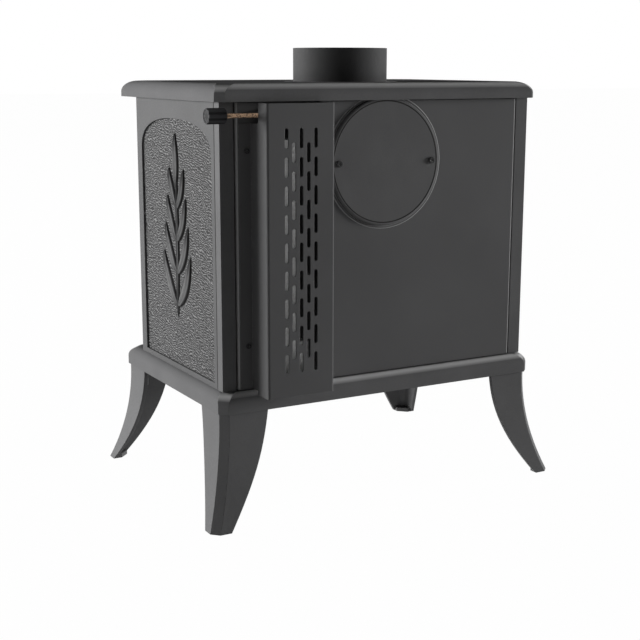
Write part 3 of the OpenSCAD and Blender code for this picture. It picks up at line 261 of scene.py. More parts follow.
class Recipe:
    """One material's nodes, from the object's own coordinates to its shader."""

    def __init__(self, name):
        self.material = bpy.data.materials.new(name)
        self.material.use_nodes = True
        self.tree = self.material.node_tree
        self.tree.nodes.clear()
        output = self.node("ShaderNodeOutputMaterial")
        self.shader = self.node("ShaderNodeBsdfPrincipled")
        self.link(self.shader.outputs["BSDF"], output.inputs["Surface"])
        self.place = self.node("ShaderNodeTexCoord").outputs["Object"]

    def node(self, kind, **settings):
        """Adds a node with its settings."""
        made = self.tree.nodes.new(kind)
        for key, value in settings.items():
            setattr(made, key, value)
        return made

    def link(self, source, target):
        """Joins two sockets."""
        self.tree.links.new(source, target)

    def stretch(self, scale):
        """The object's coordinates, scaled per axis."""
        mapping = self.node("ShaderNodeMapping")
        mapping.inputs["Scale"].default_value = scale
        self.link(self.place, mapping.inputs["Vector"])
        return mapping.outputs["Vector"]

    def grain(self, scale, detail=3.0, place=None):
        """Noise from 0 to 1 with `scale` cells to the metre."""
        made = self.node("ShaderNodeTexNoise")
        made.inputs["Scale"].default_value = scale
        made.inputs["Detail"].default_value = detail
        self.link(place or self.place, made.inputs["Vector"])
        return made.outputs["Fac"]

    def remap(self, value, start, end, first=0.0, last=1.0):
        """Brings value from start..end to first..last, held at both ends."""
        made = self.node("ShaderNodeMapRange")
        made.inputs["From Min"].default_value = start
        made.inputs["From Max"].default_value = end
        made.inputs["To Min"].default_value = first
        made.inputs["To Max"].default_value = last
        self.link(value, made.inputs["Value"])
        return made.outputs["Result"]

    def sums(self, operation, first, second):
        """A sum of two values; either may be a plain number."""
        made = self.node("ShaderNodeMath", operation=operation)
        for socket, value in zip(made.inputs, (first, second)):
            if isinstance(value, (int, float)):
                socket.default_value = value
            else:
                self.link(value, socket)
        return made.outputs["Value"]

    def mix(self, factor, first, second):
        """A colour between two others; either may be a plain colour."""
        made = self.node("ShaderNodeMix", data_type="RGBA")
        self.link(factor, made.inputs["Factor"])
        for socket, value in ((made.inputs["A"], first), (made.inputs["B"], second)):
            if isinstance(value, tuple):
                socket.default_value = (*value, 1.0)
            else:
                self.link(value, socket)
        return made.outputs["Result"]

    def bump(self, height, distance, normal=None):
        """Relief of `distance` metres from a height of 0 to 1."""
        made = self.node("ShaderNodeBump")
        made.inputs["Strength"].default_value = 1.0
        made.inputs["Distance"].default_value = distance
        self.link(height, made.inputs["Height"])
        if normal:
            self.link(normal, made.inputs["Normal"])
        return made.outputs["Normal"]

    def facing(self):
        """The surface's own normal, as its parts along X, Y and Z."""
        parts = self.node("ShaderNodeSeparateXYZ")
        self.link(self.node("ShaderNodeNewGeometry").outputs["Normal"], parts.inputs["Vector"])
        return parts.outputs

    def edges(self, radius):
        """Normals rounded over each edge, and a mask that is 1 on the edges."""
        rounded = self.node("ShaderNodeBevel", samples=6)
        rounded.inputs["Radius"].default_value = radius
        flat = self.node("ShaderNodeNewGeometry")
        across = self.node("ShaderNodeVectorMath", operation="DOT_PRODUCT")
        self.link(rounded.outputs["Normal"], across.inputs[0])
        self.link(flat.outputs["Normal"], across.inputs[1])
        return rounded.outputs["Normal"], self.remap(across.outputs["Value"], 0.99, 0.90)

    def finish(self, colour, roughness, normal=None, metallic=0.0, specular=0.3):
        """Sets the shader: sockets take a link or a plain value."""
        given = {"Base Color": colour, "Roughness": roughness}
        for name, value in given.items():
            if isinstance(value, tuple):
                self.shader.inputs[name].default_value = (*value, 1.0)
            elif isinstance(value, float):
                self.shader.inputs[name].default_value = value
            else:
                self.link(value, self.shader.inputs[name])
        if normal:
            self.link(normal, self.shader.inputs["Normal"])
        self.shader.inputs["Metallic"].default_value = metallic
        self.shader.inputs["Specular IOR Level"].default_value = specular
        return self.material


def shade(colour, factor):
    """A colour made lighter or darker."""
    return tuple(channel * factor for channel in colour)


# ---------------------------------------------------------------- finishes

PAINT_GLOSS = 0.05       # specular level of the stove paint
EDGE = 1.1 * MM          # radius of a rubbed edge


def casting_paint(name, colour, wear_and_highlight, edge=EDGE, gloss=PAINT_GLOSS, shoulder_highlight=0.0):
    """Grey stove paint on sand-cast iron: soft waves, fine grain, rubbed edges, and a painted highlight along
    the rounded top edges that face front and back.
    """
    recipe = Recipe(name)
    cloud = recipe.remap(recipe.grain(9, 2), 0.35, 0.65)
    speck = recipe.remap(recipe.grain(420, 4), 0.30, 0.70)
    rounded, rubbed = recipe.edges(edge)
    body = recipe.mix(cloud, shade(colour, 0.94), shade(colour, 1.05))
    grainy = recipe.mix(recipe.sums("MULTIPLY", speck, 0.25), body, shade(colour, 0.72))
    patchy = recipe.sums("MULTIPLY", rubbed, recipe.remap(recipe.grain(130, 5), 0.38, 0.66, 0.05, 0.75))
    painted = recipe.mix(patchy, grainy, wear_and_highlight)
    # Painted highlight: a light band on upward-tilted faces that also face front or back, standing in for the
    # glint of a light from above.
    if shoulder_highlight:
        facing = recipe.facing()
        upward = facing["Z"]
        endways = recipe.sums("ABSOLUTE", facing["Y"], 0.0)
        long_sides = recipe.remap(endways, 0.12, 0.35, 0.0, shoulder_highlight)
        band = recipe.sums("MULTIPLY", recipe.remap(upward, 0.50, 0.82), recipe.remap(upward, 0.99, 0.95))
        painted = recipe.mix(recipe.sums("MULTIPLY", band, long_sides), painted, shade(wear_and_highlight, 2.3))
    waves = recipe.bump(recipe.grain(38, 2), 0.35 * MM, rounded)
    sand = recipe.bump(recipe.grain(900, 3), 0.10 * MM, waves)
    return recipe.finish(painted, recipe.remap(speck, 0, 1, 0.50, 0.64), sand, specular=gloss)


def relief_paint(name, colour, wear_and_highlight, hollow_shade, light):
    """The same paint on fine relief: painted shade in the hollows, and crests lightened as rubbed paint and
    painted highlight.
    """
    recipe = Recipe(name)
    level = recipe.node("ShaderNodeAttribute", attribute_name="level").outputs["Fac"]
    cloud = recipe.remap(recipe.grain(14, 2), 0.35, 0.65)
    body = recipe.mix(cloud, shade(colour, 0.90), shade(colour, 1.04))
    # Painted shade: where the level is low the paint turns towards a deep grey, standing in for shade in the
    # hollows.
    shaded = recipe.mix(recipe.remap(level, 0.56, 0.32, 0.0, hollow_shade), body, shade(colour, 0.22))
    # Crests where the level is high are lightened: partly rubbed paint, partly painted highlight.
    painted = recipe.mix(recipe.remap(level, 0.60, 0.78, 0.0, light), shaded, wear_and_highlight)
    sand = recipe.bump(recipe.grain(700, 3), 0.12 * MM)
    speck = recipe.remap(recipe.grain(420, 4), 0.30, 0.70, 0.50, 0.66)
    return recipe.finish(painted, speck, sand, specular=PAINT_GLOSS)


def sheet_paint(name, colour, wear_and_highlight, bend=0.0):
    """Matt stove paint sprayed on sheet steel: nearly flat, with a fine tooth, rubbed edges and, when bend is
    set, a painted highlight on the bends.
    """
    recipe = Recipe(name)
    cloud = recipe.remap(recipe.grain(6, 2), 0.35, 0.65)
    speck = recipe.remap(recipe.grain(600, 3), 0.35, 0.65)
    rounded, rubbed = recipe.edges(EDGE)
    body = recipe.mix(cloud, shade(colour, 0.95), shade(colour, 1.05))
    grainy = recipe.mix(recipe.sums("MULTIPLY", speck, 0.18), body, shade(colour, 0.80))
    patchy = recipe.sums("MULTIPLY", rubbed, recipe.remap(recipe.grain(160, 4), 0.40, 0.66, 0.25, 0.90))
    painted = recipe.mix(patchy, grainy, wear_and_highlight)
    # Painted highlight: where the normal turns away from the back (+Y), on the bends and the rolled rim, the
    # paint is lightened.
    if bend:
        turned = recipe.remap(recipe.facing()["Y"], 0.995, 0.90, 0.0, bend)
        painted = recipe.mix(turned, painted, shade(wear_and_highlight, 1.6))
    tooth = recipe.bump(recipe.grain(1100, 2), 0.05 * MM, rounded)
    return recipe.finish(painted, recipe.remap(speck, 0, 1, 0.54, 0.64), tooth, specular=PAINT_GLOSS)


def knob_enamel(name, colour):
    """Dark satin enamel with handling marks."""
    recipe = Recipe(name)
    smear = recipe.remap(recipe.grain(120, 4), 0.35, 0.70)
    rounded, rubbed = recipe.edges(0.7 * MM)
    body = recipe.mix(smear, colour, shade(colour, 1.35))
    painted = recipe.mix(recipe.sums("MULTIPLY", rubbed, 0.35), body, shade(colour, 3.2))
    tooth = recipe.bump(recipe.grain(1400, 2), 0.03 * MM, rounded)
    return recipe.finish(painted, recipe.remap(smear, 0, 1, 0.34, 0.46), tooth, specular=PAINT_GLOSS)


def turned_metal(name, colour, dull, rough, metallic=0.85):
    """Bare metal with turning marks and a dull film in patches."""
    recipe = Recipe(name)
    film = recipe.remap(recipe.grain(420, 3), 0.44, 0.60)
    lines = recipe.grain(1, 4, recipe.stretch((2600, 300, 300)))
    rounded, rubbed = recipe.edges(0.4 * MM)
    body = recipe.mix(film, colour, dull)
    painted = recipe.mix(recipe.sums("MULTIPLY", rubbed, 0.4), body, shade(colour, 1.3))
    marks = recipe.bump(lines, 0.02 * MM, rounded)
    worn = recipe.remap(film, 0, 1, rough, rough + 0.16)
    return recipe.finish(painted, worn, marks, metallic=metallic, specular=0.5 * metallic)


def liner_board(name, board=(0.56, 0.49, 0.40), sooty=(0.20, 0.18, 0.16), chipped=(0.66, 0.60, 0.52)):
    """Insulating board or cement, sooted and chipped."""
    recipe = Recipe(name)
    soot = recipe.remap(recipe.grain(12, 4), 0.40, 0.66)
    rounded, rubbed = recipe.edges(1.5 * MM)
    body = recipe.mix(soot, board, sooty)
    painted = recipe.mix(recipe.sums("MULTIPLY", rubbed, 0.5), body, chipped)
    pits = recipe.bump(recipe.grain(500, 5), 0.4 * MM, rounded)
    return recipe.finish(painted, 0.92, pits, specular=0.15)


def stove_glass(name):
    """Heat-proof glass with a faint brown tint."""
    recipe = Recipe(name)
    haze = recipe.remap(recipe.grain(20, 3), 0.4, 0.7, 0.03, 0.12)
    ripple = recipe.bump(recipe.grain(30, 1), 0.02 * MM)
    glass = recipe.finish((0.80, 0.74, 0.66), haze, ripple, specular=0.5)
    recipe.shader.inputs["Transmission Weight"].default_value = 0.92
    recipe.shader.inputs["IOR"].default_value = 1.47
    return glass


def rope_fibre(name):
    """Twisted glass-fibre rope."""
    recipe = Recipe(name)
    twist = recipe.node("ShaderNodeTexWave", bands_direction="DIAGONAL")
    twist.inputs["Scale"].default_value = 120
    twist.inputs["Distortion"].default_value = 3
    recipe.link(recipe.place, twist.inputs["Vector"])
    dust = recipe.remap(recipe.grain(60, 4), 0.35, 0.70)
    strand = recipe.mix(twist.outputs["Fac"], (0.045, 0.045, 0.045), (0.16, 0.155, 0.15))
    painted = recipe.mix(recipe.sums("MULTIPLY", dust, 0.4), strand, (0.24, 0.23, 0.22))
    lay = recipe.bump(twist.outputs["Fac"], 0.8 * MM)
    return recipe.finish(painted, 0.88, lay, specular=0.2)


# ---------------------------------------------------------------- what each CAD node is finished in

PLATES = ("base_plate", "top_plate")
PANELS = ("side_panel_left", "side_panel_right")
CASTINGS = (
    "leg_front_left", "leg_front_right", "leg_rear_left", "leg_rear_right",
    "front_frame", "door", "ash_front",
)
BACK_CASTINGS = ("rear_plate", "blanking_disc")
SHEET_PARTS = ("channel_cover", "air_shutter", "rod_bracket", "ash_pan", "air_slider")
PAINTED_SCREWS = (
    "flue_collar_screws", "blanking_disc_screws", "channel_cover_screws",
    "ash_front_screws", "air_slider_screws",
)
GRATE_PARTS = ("grate", "riddling_plate", "riddling_knob", "log_guard")
KNOBS = ("handle_grip", "ash_knob", "air_slider_knob")
LINERS = ("side_liner_left", "side_liner_right", "back_liner", "baffle_plate")
ROPES = ("door_rope_gasket", "glass_gasket", "flue_collar_gasket", "blanking_disc_gasket")
SINGLES = ("rear_heat_shield", "air_box", "door_glass", "control_rod", "control_knob", "flue_collar")
NAMED = (
    *PLATES, *PANELS, *CASTINGS, *BACK_CASTINGS, *SHEET_PARTS, *PAINTED_SCREWS, *GRATE_PARTS, *KNOBS, *LINERS,
    *ROPES, *SINGLES,
)
SIDES = {"side_panel_left": -1, "side_panel_right": 1}


def dress(material, nodes):
    """Gives CAD nodes a material in place of their own."""
    for name in nodes:
        slots = frame["nodes"][name].material_slots
        if not slots:
            frame["nodes"][name].data.materials.append(material)
        for slot in slots:
            slot.material = material


def settings(kind):
    """One of the scene's groups of settings."""
    return getattr(bpy.context.scene, kind)


# ---------------------------------------------------------------- bark panels

def arch_drop(across, relief):
    """How far the arch lies under its crown, where across is 0 at one side and 1 at the other."""
    out = min(abs(2 * across - 1), 1)
    return relief.arch_rise * (1 - (1 - out ** relief.arch_power) ** (1 / relief.arch_power))


BARK_MIDDLE, BARK_SWING, BARK_PITS = 0.44, 0.44, 0.46
BARK_SLANT = 0.18        # rise of a ripple along the panel


def bark_height(along, height, pitch):
    """Short wavy ripples with pits, from 0 to 1, at a place on the panel."""
    spot = Vector((along, height, 0))
    bends = 1.2 * noise.noise(spot / (18 * MM))
    kinks = 0.55 * noise.noise(spot / (6 * MM) + Vector((0, 0, 5)))
    wave = math.sin(math.tau * ((height + BARK_SLANT * along) / pitch + (bends + kinks)))
    strength = 0.75 + 0.55 * noise.noise(Vector((along / (12 * MM), height / (7 * MM), 9)))
    pits = noise.noise(Vector((along / (4.4 * MM), height / (2.0 * MM), 14)))
    return max(0.0, min(1.0, BARK_MIDDLE + BARK_SWING * strength * wave + BARK_PITS * pits))


def bark_panel(name, side, sprig):
    """A closed sheet of rippled bark that fills one side panel's recess and lies low round its sprig."""
    relief = settings("stove_relief")
    panel_low, panel_high = low("side_panel_right"), high("side_panel_right")
    floor = panel_high.x - relief.depth
    front = panel_low.y + relief.border_front
    rear = panel_high.y - relief.border_rear
    foot = panel_low.z + relief.border_foot
    crown = panel_high.z - relief.border_crown
    height, pitch = relief.ripple_height, relief.ripple
    bare = 1 * MM            # smooth band next to the leaves
    # Painted shade round the leaves: the level falls to this value in the moat.
    moat_shade = 0.25         # level at the bottom of the moat
    leaves = BVHTree.FromPolygons(
        [vertex.co for vertex in sprig.data.vertices], [face.vertices[:] for face in sprig.data.polygons])
    tops = {}

    def ripple(y, z):
        distance = leaves.find_nearest(Vector((side * floor, y, z)), relief.moat)[3]
        clear = 1 if distance is None else max(0.0, (distance - bare) / (relief.moat - bare))
        return bark_height(y, z, pitch) * clear

    def place(across, along):
        if across not in tops:
            tops[across] = crown - arch_drop(across, relief)
        y = front + (rear - front) * across
        z = foot + (tops[across] - foot) * along
        if min(across, 1 - across, along, 1 - along) < RIM:
            return Vector((side * (floor - SUNK), y, z))
        return Vector((side * (floor + SUNK + height * ripple(y, z)), y, z))

    # Painted shade and highlight: the level follows the ripples' height, so the paint shades the hollows and
    # lightens the crests.
    def level(across, along):
        y, z = place(across, along).yz
        plain, lowered = bark_height(y, z, pitch), ripple(y, z)
        return plain if lowered == plain else moat_shade + (1 - moat_shade) * lowered

    return close_piece(sheet_piece(name, 140, 640, place, level), angle=80)


class STOVE_OT_bark(bpy.types.Operator):
    """Fills the recess of both side panels with rippled bark"""
    bl_idname = "stove.bark"
    bl_label = "Bark panels"

    def execute(self, context):
        finish = settings("stove_finish")
        paint = relief_paint("bark paint", shade(finish.iron, 0.84), tuple(finish.wear_and_highlight), 1.0, 0.75)
        for panel, side in SIDES.items():
            sprig = bpy.data.objects[panel.replace("side_panel", "leaf_relief")]
            ride(bark_panel(panel.replace("side_panel", "bark_panel"), side, sprig), paint)
        return {"FINISHED"}


# ---------------------------------------------------------------- cement seams

def cement_bead(name, side):
    """A bead of fire cement in the joint between a side panel and its rear post."""
    panel_low, panel_high = low("side_panel_right"), high("side_panel_right")
    half, proud = 1.3 * MM, 0.5 * MM
    lumps = 90               # uneven places along the bead

    def place(across, along):
        uneven = 0.8 + 0.3 * noise.noise(Vector((along * lumps, 0, side)))
        swell = proud * math.sin(math.pi * across) * uneven
        x = panel_high.x + (swell if 0 < across < 1 and 0 < along < 1 else -SUNK)
        y = panel_high.y + half * (2 * across - 1)
        return Vector((side * x, y, panel_low.z + (panel_high.z - panel_low.z) * along))

    return close_piece(sheet_piece(name, 8, 240, place), angle=60)


class STOVE_OT_seams(bpy.types.Operator):
    """Fills the joints of the side panels with fire cement"""
    bl_idname = "stove.seams"
    bl_label = "Cement seams"

    def execute(self, context):
        cement = liner_board(
            "fire cement", board=(0.045, 0.043, 0.042), sooty=(0.02, 0.02, 0.02), chipped=(0.08, 0.08, 0.08))
        for panel, side in SIDES.items():
            ride(cement_bead(panel.replace("side_panel", "seam"), side), cement)
        return {"FINISHED"}


# ---------------------------------------------------------------- leaf relief

RIB = 0.30               # half width of a leaf's midrib, as a share of the leaf's half width
BLADE = 0.62             # height of a leaf's blade, as a share of its midrib's


def midrib(across):
    """1 on a leaf's middle line, 0 from the edge of its midrib outwards."""
    return max(0, 1 - abs(2 * across - 1) / RIB)


def leaf(root, lean, length, width, rise, floor, side):
    """A pointed leaf with a raised midrib, on the floor of the recess."""
    def place(across, along):
        out = 2 * across - 1
        half = width / 2 * math.sin(math.pi * along ** 0.85) ** 0.8 if 0 < along < 1 else 0
        bend = lean * (1 - 0.40 * along)
        y = root[0] + length * along * math.sin(bend) + out * half * math.cos(bend)
        z = root[1] + length * along * math.cos(bend) - out * half * math.sin(bend)
        if abs(out) > 1 - RIM or not 0 < along < 1:
            return Vector((side * (floor - SUNK), y, z))
        crown = rise * (1 - abs(out) ** 6) * (BLADE + (1 - BLADE) * midrib(across))
        fade = min(1, 6 * along, 6 * (1 - along))
        return Vector((side * (floor + crown * (0.5 + 0.5 * fade)), y, z))

    # Painted shade and highlight: the level is low at the leaf's edges, where the leaf paint shades it, and
    # high on the midrib, where it is lightened.
    def level(across, _along):
        inwards = min(1, 2 * (1 - abs(2 * across - 1)))
        return 0.10 + 0.48 * inwards + 0.30 * midrib(across)

    return close_piece(sheet_piece("leaf", 16, 36, place, level), angle=35)


def leaf_sprig(name, side):
    """An upright sprig: one stem, four pairs of leaves and a leaf at the tip."""
    relief = settings("stove_relief")
    panel_low, panel_high = low("side_panel_right"), high("side_panel_right")
    floor = panel_high.x - relief.depth
    middle = (panel_low.y + panel_high.y) / 2
    foot = panel_low.z + relief.sprig_foot
    rise = relief.depth + relief.sprig_proud
    stem_length, stem_width, stem_lean = 262 * MM, 11 * MM, 0.03
    pieces = [leaf((middle, foot), stem_lean, stem_length, stem_width, rise * 0.8, floor, side)]
    pairs, first_pair, pair_pitch = 4, 22 * MM, 58 * MM
    for pair in range(pairs):
        share = pair / (pairs - 1)
        root = (middle + 1 * MM * pair, foot + first_pair + pair_pitch * pair)
        length = (112 - 34 * share) * MM
        width = (27 - 7 * share) * MM
        lean = 0.92 - 0.22 * share
        for way in (-1, 1):
            pieces.append(leaf(root, way * lean, length, width, rise, floor, side))
    tip_up, tip_length, tip_width = 232 * MM, 96 * MM, 24 * MM
    pieces.append(leaf((middle, foot + tip_up), 0.0, tip_length, tip_width, rise, floor, side))
    return join_pieces(name, pieces)


class STOVE_OT_leaves(bpy.types.Operator):
    """Sets a sprig of leaves on the bark of both side panels"""
    bl_idname = "stove.leaves"
    bl_label = "Leaf relief"

    def execute(self, context):
        finish = settings("stove_finish")
        paint = relief_paint("leaf paint", shade(finish.iron, 0.86), tuple(finish.wear_and_highlight), 0.95, 0.85)
        for panel, side in SIDES.items():
            ride(leaf_sprig(panel.replace("side_panel", "leaf_relief"), side), paint)
        return {"FINISHED"}


# ---------------------------------------------------------------- rims round the blanking disc

def ring_bead(name, wider, half, face, proud):
    """A half-round bead round the blanking disc, `wider` than the disc's radius and `proud` of a face."""
    disc_low, disc_high = low("blanking_disc"), high("blanking_disc")
    middle = (disc_low + disc_high) / 2
    reach = (disc_high.x - disc_low.x) / 2 + wider
    sunk = 0.4 * MM

    def place(around, along):
        turn, section = math.tau * around, math.tau * along
        radius = reach + half * math.cos(section)
        y = face - sunk + (sunk + proud) * math.sin(section)
        return Vector((middle.x + radius * math.cos(turn), y, middle.z + radius * math.sin(turn)))

    return close_piece(sheet_piece(name, 160, 12, place), angle=60)


class STOVE_OT_rims(bpy.types.Operator):
    """Rolls the rim of the heat shield's round hole and seals the blanking disc with fire cement"""
    bl_idname = "stove.rims"
    bl_label = "Rims round the disc"

    def execute(self, context):
        rim = ring_bead("shield_rim", 9.2 * MM, 2.9 * MM, high("rear_heat_shield").y, 0.9 * MM)
        ride(rim, bpy.data.materials["shield paint"])
        seal = ring_bead("disc_seal", 0.4 * MM, 1.4 * MM, high("blanking_disc").y, 0.3 * MM)
        ride(seal, bpy.data.materials["fire cement"])
        return {"FINISHED"}


# ---------------------------------------------------------------- air control

def threaded_rod(name):
    """The control rod with its rolled thread."""
    start, end = low("control_rod"), high("control_rod")
    crest = (end.y - start.y) / 2
    root = crest - 0.65 * MM
    pitch = 1.25 * MM
    rows_per_turn = 6
    length = end.x - start.x
    middle = (start + end) / 2

    def place(around, along):
        turn = (along * length / pitch - around) % 1
        flank = abs(2 * turn - 1)
        radius = root + (crest - root) * flank
        angle = math.tau * around
        y, z = middle.y + radius * math.cos(angle), middle.z + radius * math.sin(angle)
        return Vector((start.x + length * along, y, z))

    rows = round(length / pitch * rows_per_turn)
    return close_piece(sheet_piece(name, 24, rows, place), angle=50)


def fluted_knob(name):
    """The control knob: a cylinder with broad flutes, a chamfered rim and a dished end."""
    start, end = low("control_knob"), high("control_knob")
    middle = (start + end) / 2
    radius = (end.y - start.y) / 2
    flutes, depth, rim, chamfer, dish = 8, 1.1 * MM, 2.5 * MM, 0.5 * MM, 0.6 * MM
    turned = (
        (start.x, 0), (start.x, radius - chamfer), (start.x + chamfer, radius),
        (end.x - chamfer, radius), (end.x, radius - chamfer), (end.x, radius - rim),
        (end.x - dish, radius - rim - chamfer), (end.x - dish, 0),
    )

    def flute(around):
        return max(0, -math.cos(flutes * math.tau * around))

    def place(around, along):
        x, reach = turned[round(along * (len(turned) - 1))]
        angle = math.tau * around
        if reach > radius - rim:
            reach -= depth * flute(around)
        return Vector((x, middle.y - reach * math.cos(angle), middle.z + reach * math.sin(angle)))

    # Painted shade: the level drops in the flutes, where the knob paint shades them.
    def level(around, _along):
        return 0.58 - 0.5 * flute(around)

    return close_piece(sheet_piece(name, 64, len(turned) - 1, place, level), caps=False, angle=35)


class STOVE_OT_air_control(bpy.types.Operator):
    """Makes the threaded rod and the fluted knob of the air control"""
    bl_idname = "stove.air_control"
    bl_label = "Air control"

    def execute(self, context):
        finish = settings("stove_finish")
        rod = threaded_rod("threaded_rod")
        ride(rod, turned_metal("rod metal", tuple(finish.brass), (0.07, 0.05, 0.04), 0.34),
             body="air_knob")
        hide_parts("control_rod")
        knob = fluted_knob("fluted_knob")
        # The knob paint shades the flutes as painted shade and lightens no crests.
        paint = relief_paint("control knob paint", shade(finish.knob, 1.5), tuple(finish.wear_and_highlight), 0.8, 0.0)
        ride(knob, paint, body="air_knob")
        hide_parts("control_knob")
        return {"FINISHED"}


# ---------------------------------------------------------------- finishes on the CAD nodes

class STOVE_OT_castings(bpy.types.Operator):
    """Paints the cast-iron pieces"""
    bl_idname = "stove.castings"
    bl_label = "Castings"

    def execute(self, context):
        finish = settings("stove_finish")
        iron, wear_and_highlight = tuple(finish.iron), tuple(finish.wear_and_highlight)
        # Painted light and shade: lighter and deeper copies of the one iron paint stand in for how the light
        # falls on each part: lighter on the legs and plates, deeper on the side panels and much deeper on the
        # flue collar.
        dress(casting_paint("casting paint", shade(iron, 1.06), wear_and_highlight), CASTINGS)
        dress(casting_paint("panel paint", shade(iron, 0.80), wear_and_highlight), PANELS)
        dress(casting_paint("plate paint", shade(iron, 1.22), wear_and_highlight, gloss=0.0, shoulder_highlight=0.95), PLATES)
        dress(casting_paint("back casting paint", iron, wear_and_highlight, edge=0.7 * MM), BACK_CASTINGS)
        dress(casting_paint("collar paint", shade(iron, 0.62), shade(wear_and_highlight, 0.7), gloss=0.03), ("flue_collar",))
        dress(casting_paint("grate iron", shade(iron, 0.55), shade(wear_and_highlight, 0.6)), GRATE_PARTS)
        return {"FINISHED"}


class STOVE_OT_sheet_metal(bpy.types.Operator):
    """Paints the heat shield, the slotted cover and the other sheet-metal pieces"""
    bl_idname = "stove.sheet_metal"
    bl_label = "Sheet metal"

    def execute(self, context):
        finish = settings("stove_finish")
        dress(sheet_paint("sheet paint", tuple(finish.sheet), tuple(finish.wear_and_highlight)), SHEET_PARTS)
        # The heat shield's bends and the rim round its hole get a painted highlight.
        shield = sheet_paint("shield paint", tuple(finish.sheet), tuple(finish.wear_and_highlight), bend=0.8)
        dress(shield, ("rear_heat_shield",))
        # The screws are painted in a deep grey: partly their own paint, partly painted shade standing in for
        # the shadow round their heads.
        dress(sheet_paint("screw paint", shade(finish.sheet, 0.42), tuple(finish.wear_and_highlight)), PAINTED_SCREWS)
        return {"FINISHED"}


class STOVE_OT_fittings(bpy.types.Operator):
    """Finishes the knobs, liners, ropes, glass and bright fittings"""
    bl_idname = "stove.fittings"
    bl_label = "Fittings"

    def execute(self, context):
        finish = settings("stove_finish")
        dress(knob_enamel("knob enamel", tuple(finish.knob)), KNOBS)
        dress(liner_board("liner board"), LINERS)
        dress(rope_fibre("rope fibre"), ROPES)
        dress(stove_glass("stove glass"), ("door_glass",))
        zinc = turned_metal("galvanised steel", (0.80, 0.80, 0.80), (0.72, 0.72, 0.715), 0.40, metallic=0.6)
        dress(zinc, ("air_box",))
        bright = [name for name in frame["nodes"] if name not in NAMED]
        dress(turned_metal("zinc-plated steel", (0.42, 0.42, 0.41), (0.20, 0.20, 0.195), 0.38), bright)
        return {"FINISHED"}


# ---------------------------------------------------------------- studio

def shown_white(name, colour, share):
    """A surface that cameras, mirrors and glass see as white, and light sees in its own colour."""
    material = bpy.data.materials.new(name)
    material.use_nodes = True
    tree = material.node_tree
    tree.nodes.clear()
    rays = tree.nodes.new("ShaderNodeLightPath")
    most = seen_rays(tree, rays)
    factor = tree.nodes.new("ShaderNodeMath")
    factor.operation = "MULTIPLY"
    factor.inputs[1].default_value = share
    tree.links.new(most, factor.inputs[0])
    plain = tree.nodes.new("ShaderNodeBsdfDiffuse")
    plain.inputs["Color"].default_value = (*colour, 1)
    white = tree.nodes.new("ShaderNodeEmission")
    blend = tree.nodes.new("ShaderNodeMixShader")
    output = tree.nodes.new("ShaderNodeOutputMaterial")
    tree.links.new(factor.outputs[0], blend.inputs["Fac"])
    tree.links.new(plain.outputs[0], blend.inputs[1])
    tree.links.new(white.outputs[0], blend.inputs[2])
    tree.links.new(blend.outputs[0], output.inputs["Surface"])
    return material


def seen_rays(tree, rays):
    """1 for camera, glossy and transmission rays."""
    total = rays.outputs["Is Camera Ray"]
    for kind in ("Is Glossy Ray", "Is Transmission Ray"):
        most = tree.nodes.new("ShaderNodeMath")
        most.operation = "MAXIMUM"
        tree.links.new(total, most.inputs[0])
        tree.links.new(rays.outputs[kind], most.inputs[1])
        total = most.outputs[0]
    return total


def studio_world(ambient):
    """A white world to look at, and a dim even light on the stove."""
    world = bpy.data.worlds.new("studio")
    bpy.context.scene.world = world
    world.use_nodes = True
    tree = world.node_tree
    tree.nodes.clear()
    rays = tree.nodes.new("ShaderNodeLightPath")
    span = tree.nodes.new("ShaderNodeMapRange")
    span.inputs["To Min"].default_value = ambient
    sky = tree.nodes.new("ShaderNodeBackground")
    sky.inputs["Color"].default_value = (1, 1, 1, 1)
    output = tree.nodes.new("ShaderNodeOutputWorld")
    tree.links.new(seen_rays(tree, rays), span.inputs["Value"])
    tree.links.new(span.outputs["Result"], sky.inputs["Strength"])
    tree.links.new(sky.outputs[0], output.inputs["Surface"])


LIGHT_DISTANCE = 8.0     # of both lights from the stove, in metres
LIGHT_HEIGHT = 2.4
KEY_WIDTH = 5.2
FILL_WIDTH = 2.4
FLOOR_SIZE = 60


def soft_light(name, direction, width, radiance):
    """A light that faces the stove and gives the stated radiance on a white card that faces it."""
    aim = Vector((0, 0, (CAD_BOX[0][2] + CAD_BOX[1][2]) / 2))
    place = aim + Vector(direction).normalized() * LIGHT_DISTANCE
    lamp = bpy.data.lights.new(name, "AREA")
    lamp.shape = "RECTANGLE"
    lamp.size, lamp.size_y = width, LIGHT_HEIGHT
    lamp.energy = radiance * math.pi * math.pi * LIGHT_DISTANCE ** 2
    holder = bpy.data.objects.new(name, lamp)
    bpy.context.scene.collection.objects.link(holder)
    turned = (aim - place).to_track_quat("-Z", "Y").to_matrix().to_4x4()
    holder.matrix_world = Matrix.Translation(place) @ turned


def studio_camera(studio):
    """The camera at the photograph's place and angle."""
    camera = bpy.data.objects.new("camera", bpy.data.cameras.new("camera"))
    bpy.context.scene.collection.objects.link(camera)
    camera.data.sensor_width = 36
    camera.data.lens = studio.lens
    camera.data.clip_end = 200
    turn = math.radians(studio.azimuth)
    rise = math.radians(studio.elevation)
    back = Vector((math.sin(turn) * math.cos(rise), -math.cos(turn) * math.cos(rise), math.sin(rise)))
    facing = (-back).to_track_quat("-Z", "Y").to_matrix()
    facing = facing @ Matrix.Rotation(math.radians(studio.roll), 3, "Z")
    camera.matrix_world = Matrix.Translation(studio.camera_place) @ facing.to_4x4()
    bpy.context.scene.camera = camera


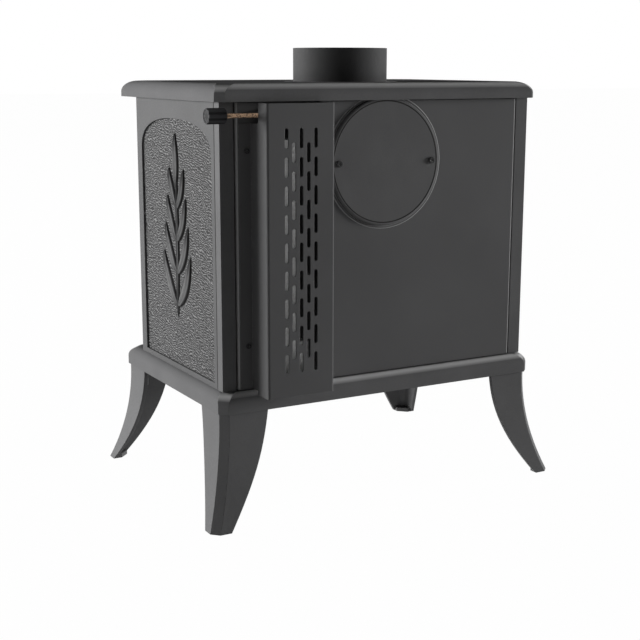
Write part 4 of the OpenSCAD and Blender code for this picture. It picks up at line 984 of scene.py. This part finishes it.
class STOVE_OT_studio(bpy.types.Operator):
    """Builds the floor, the soft lights and the camera"""
    bl_idname = "stove.studio"
    bl_label = "Studio"

    def execute(self, context):
        studio = settings("stove_studio")
        clear_selection()
        bpy.ops.mesh.primitive_plane_add(size=FLOOR_SIZE, location=(0, 0, 0))
        floor = context.object
        floor.name = "floor"
        floor.data.materials.append(shown_white("floor white", (0.80, 0.80, 0.80), studio.floor_glow))
        studio_world(studio.ambient)
        soft_light("key", studio.key_from, KEY_WIDTH, studio.key)
        soft_light("fill", studio.fill_from, FILL_WIDTH, studio.fill)
        studio_camera(studio)
        context.scene.view_settings.view_transform = "Standard"
        return {"FINISHED"}


# ---------------------------------------------------------------- panel and registration

class STOVE_PT_finisher(bpy.types.Panel):
    """Lists the steps that dress the stove"""
    bl_idname = "STOVE_PT_finisher"
    bl_label = "Box Stove Finisher"
    bl_space_type = "VIEW_3D"
    bl_region_type = "UI"
    bl_category = "Stove"

    def draw(self, context):
        for step in STEPS:
            self.layout.operator(step.bl_idname)
        for kind in GROUPS:
            group = getattr(context.scene, kind)
            box = self.layout.box()
            for name in group.bl_rna.properties.keys():
                if name not in ("name", "rna_type"):
                    box.prop(group, name)


STEPS = (
    STOVE_OT_castings, STOVE_OT_sheet_metal, STOVE_OT_fittings, STOVE_OT_leaves, STOVE_OT_bark,
    STOVE_OT_seams, STOVE_OT_rims, STOVE_OT_air_control, STOVE_OT_studio,
)
GROUPS = {"stove_finish": StoveFinish, "stove_relief": StoveRelief, "stove_studio": StoveStudio}


def register():
    """Adds the settings, the steps and the panel to Blender."""
    for group in (*GROUPS.values(), *STEPS, STOVE_PT_finisher):
        bpy.utils.register_class(group)
    for kind, group in GROUPS.items():
        setattr(bpy.types.Scene, kind, bpy.props.PointerProperty(type=group))


def unregister():
    """Takes them out again."""
    for kind in GROUPS:
        delattr(bpy.types.Scene, kind)
    for group in (STOVE_PT_finisher, *reversed(STEPS), *GROUPS.values()):
        bpy.utils.unregister_class(group)


def main():
    """Dresses the stove, step by step."""
    register()
    bpy.ops.stove.castings()
    bpy.ops.stove.sheet_metal()
    bpy.ops.stove.fittings()
    bpy.ops.stove.leaves()
    bpy.ops.stove.bark()
    bpy.ops.stove.seams()
    bpy.ops.stove.rims()
    bpy.ops.stove.air_control()
    bpy.ops.stove.studio()


if __name__ == "__main__":
    main()
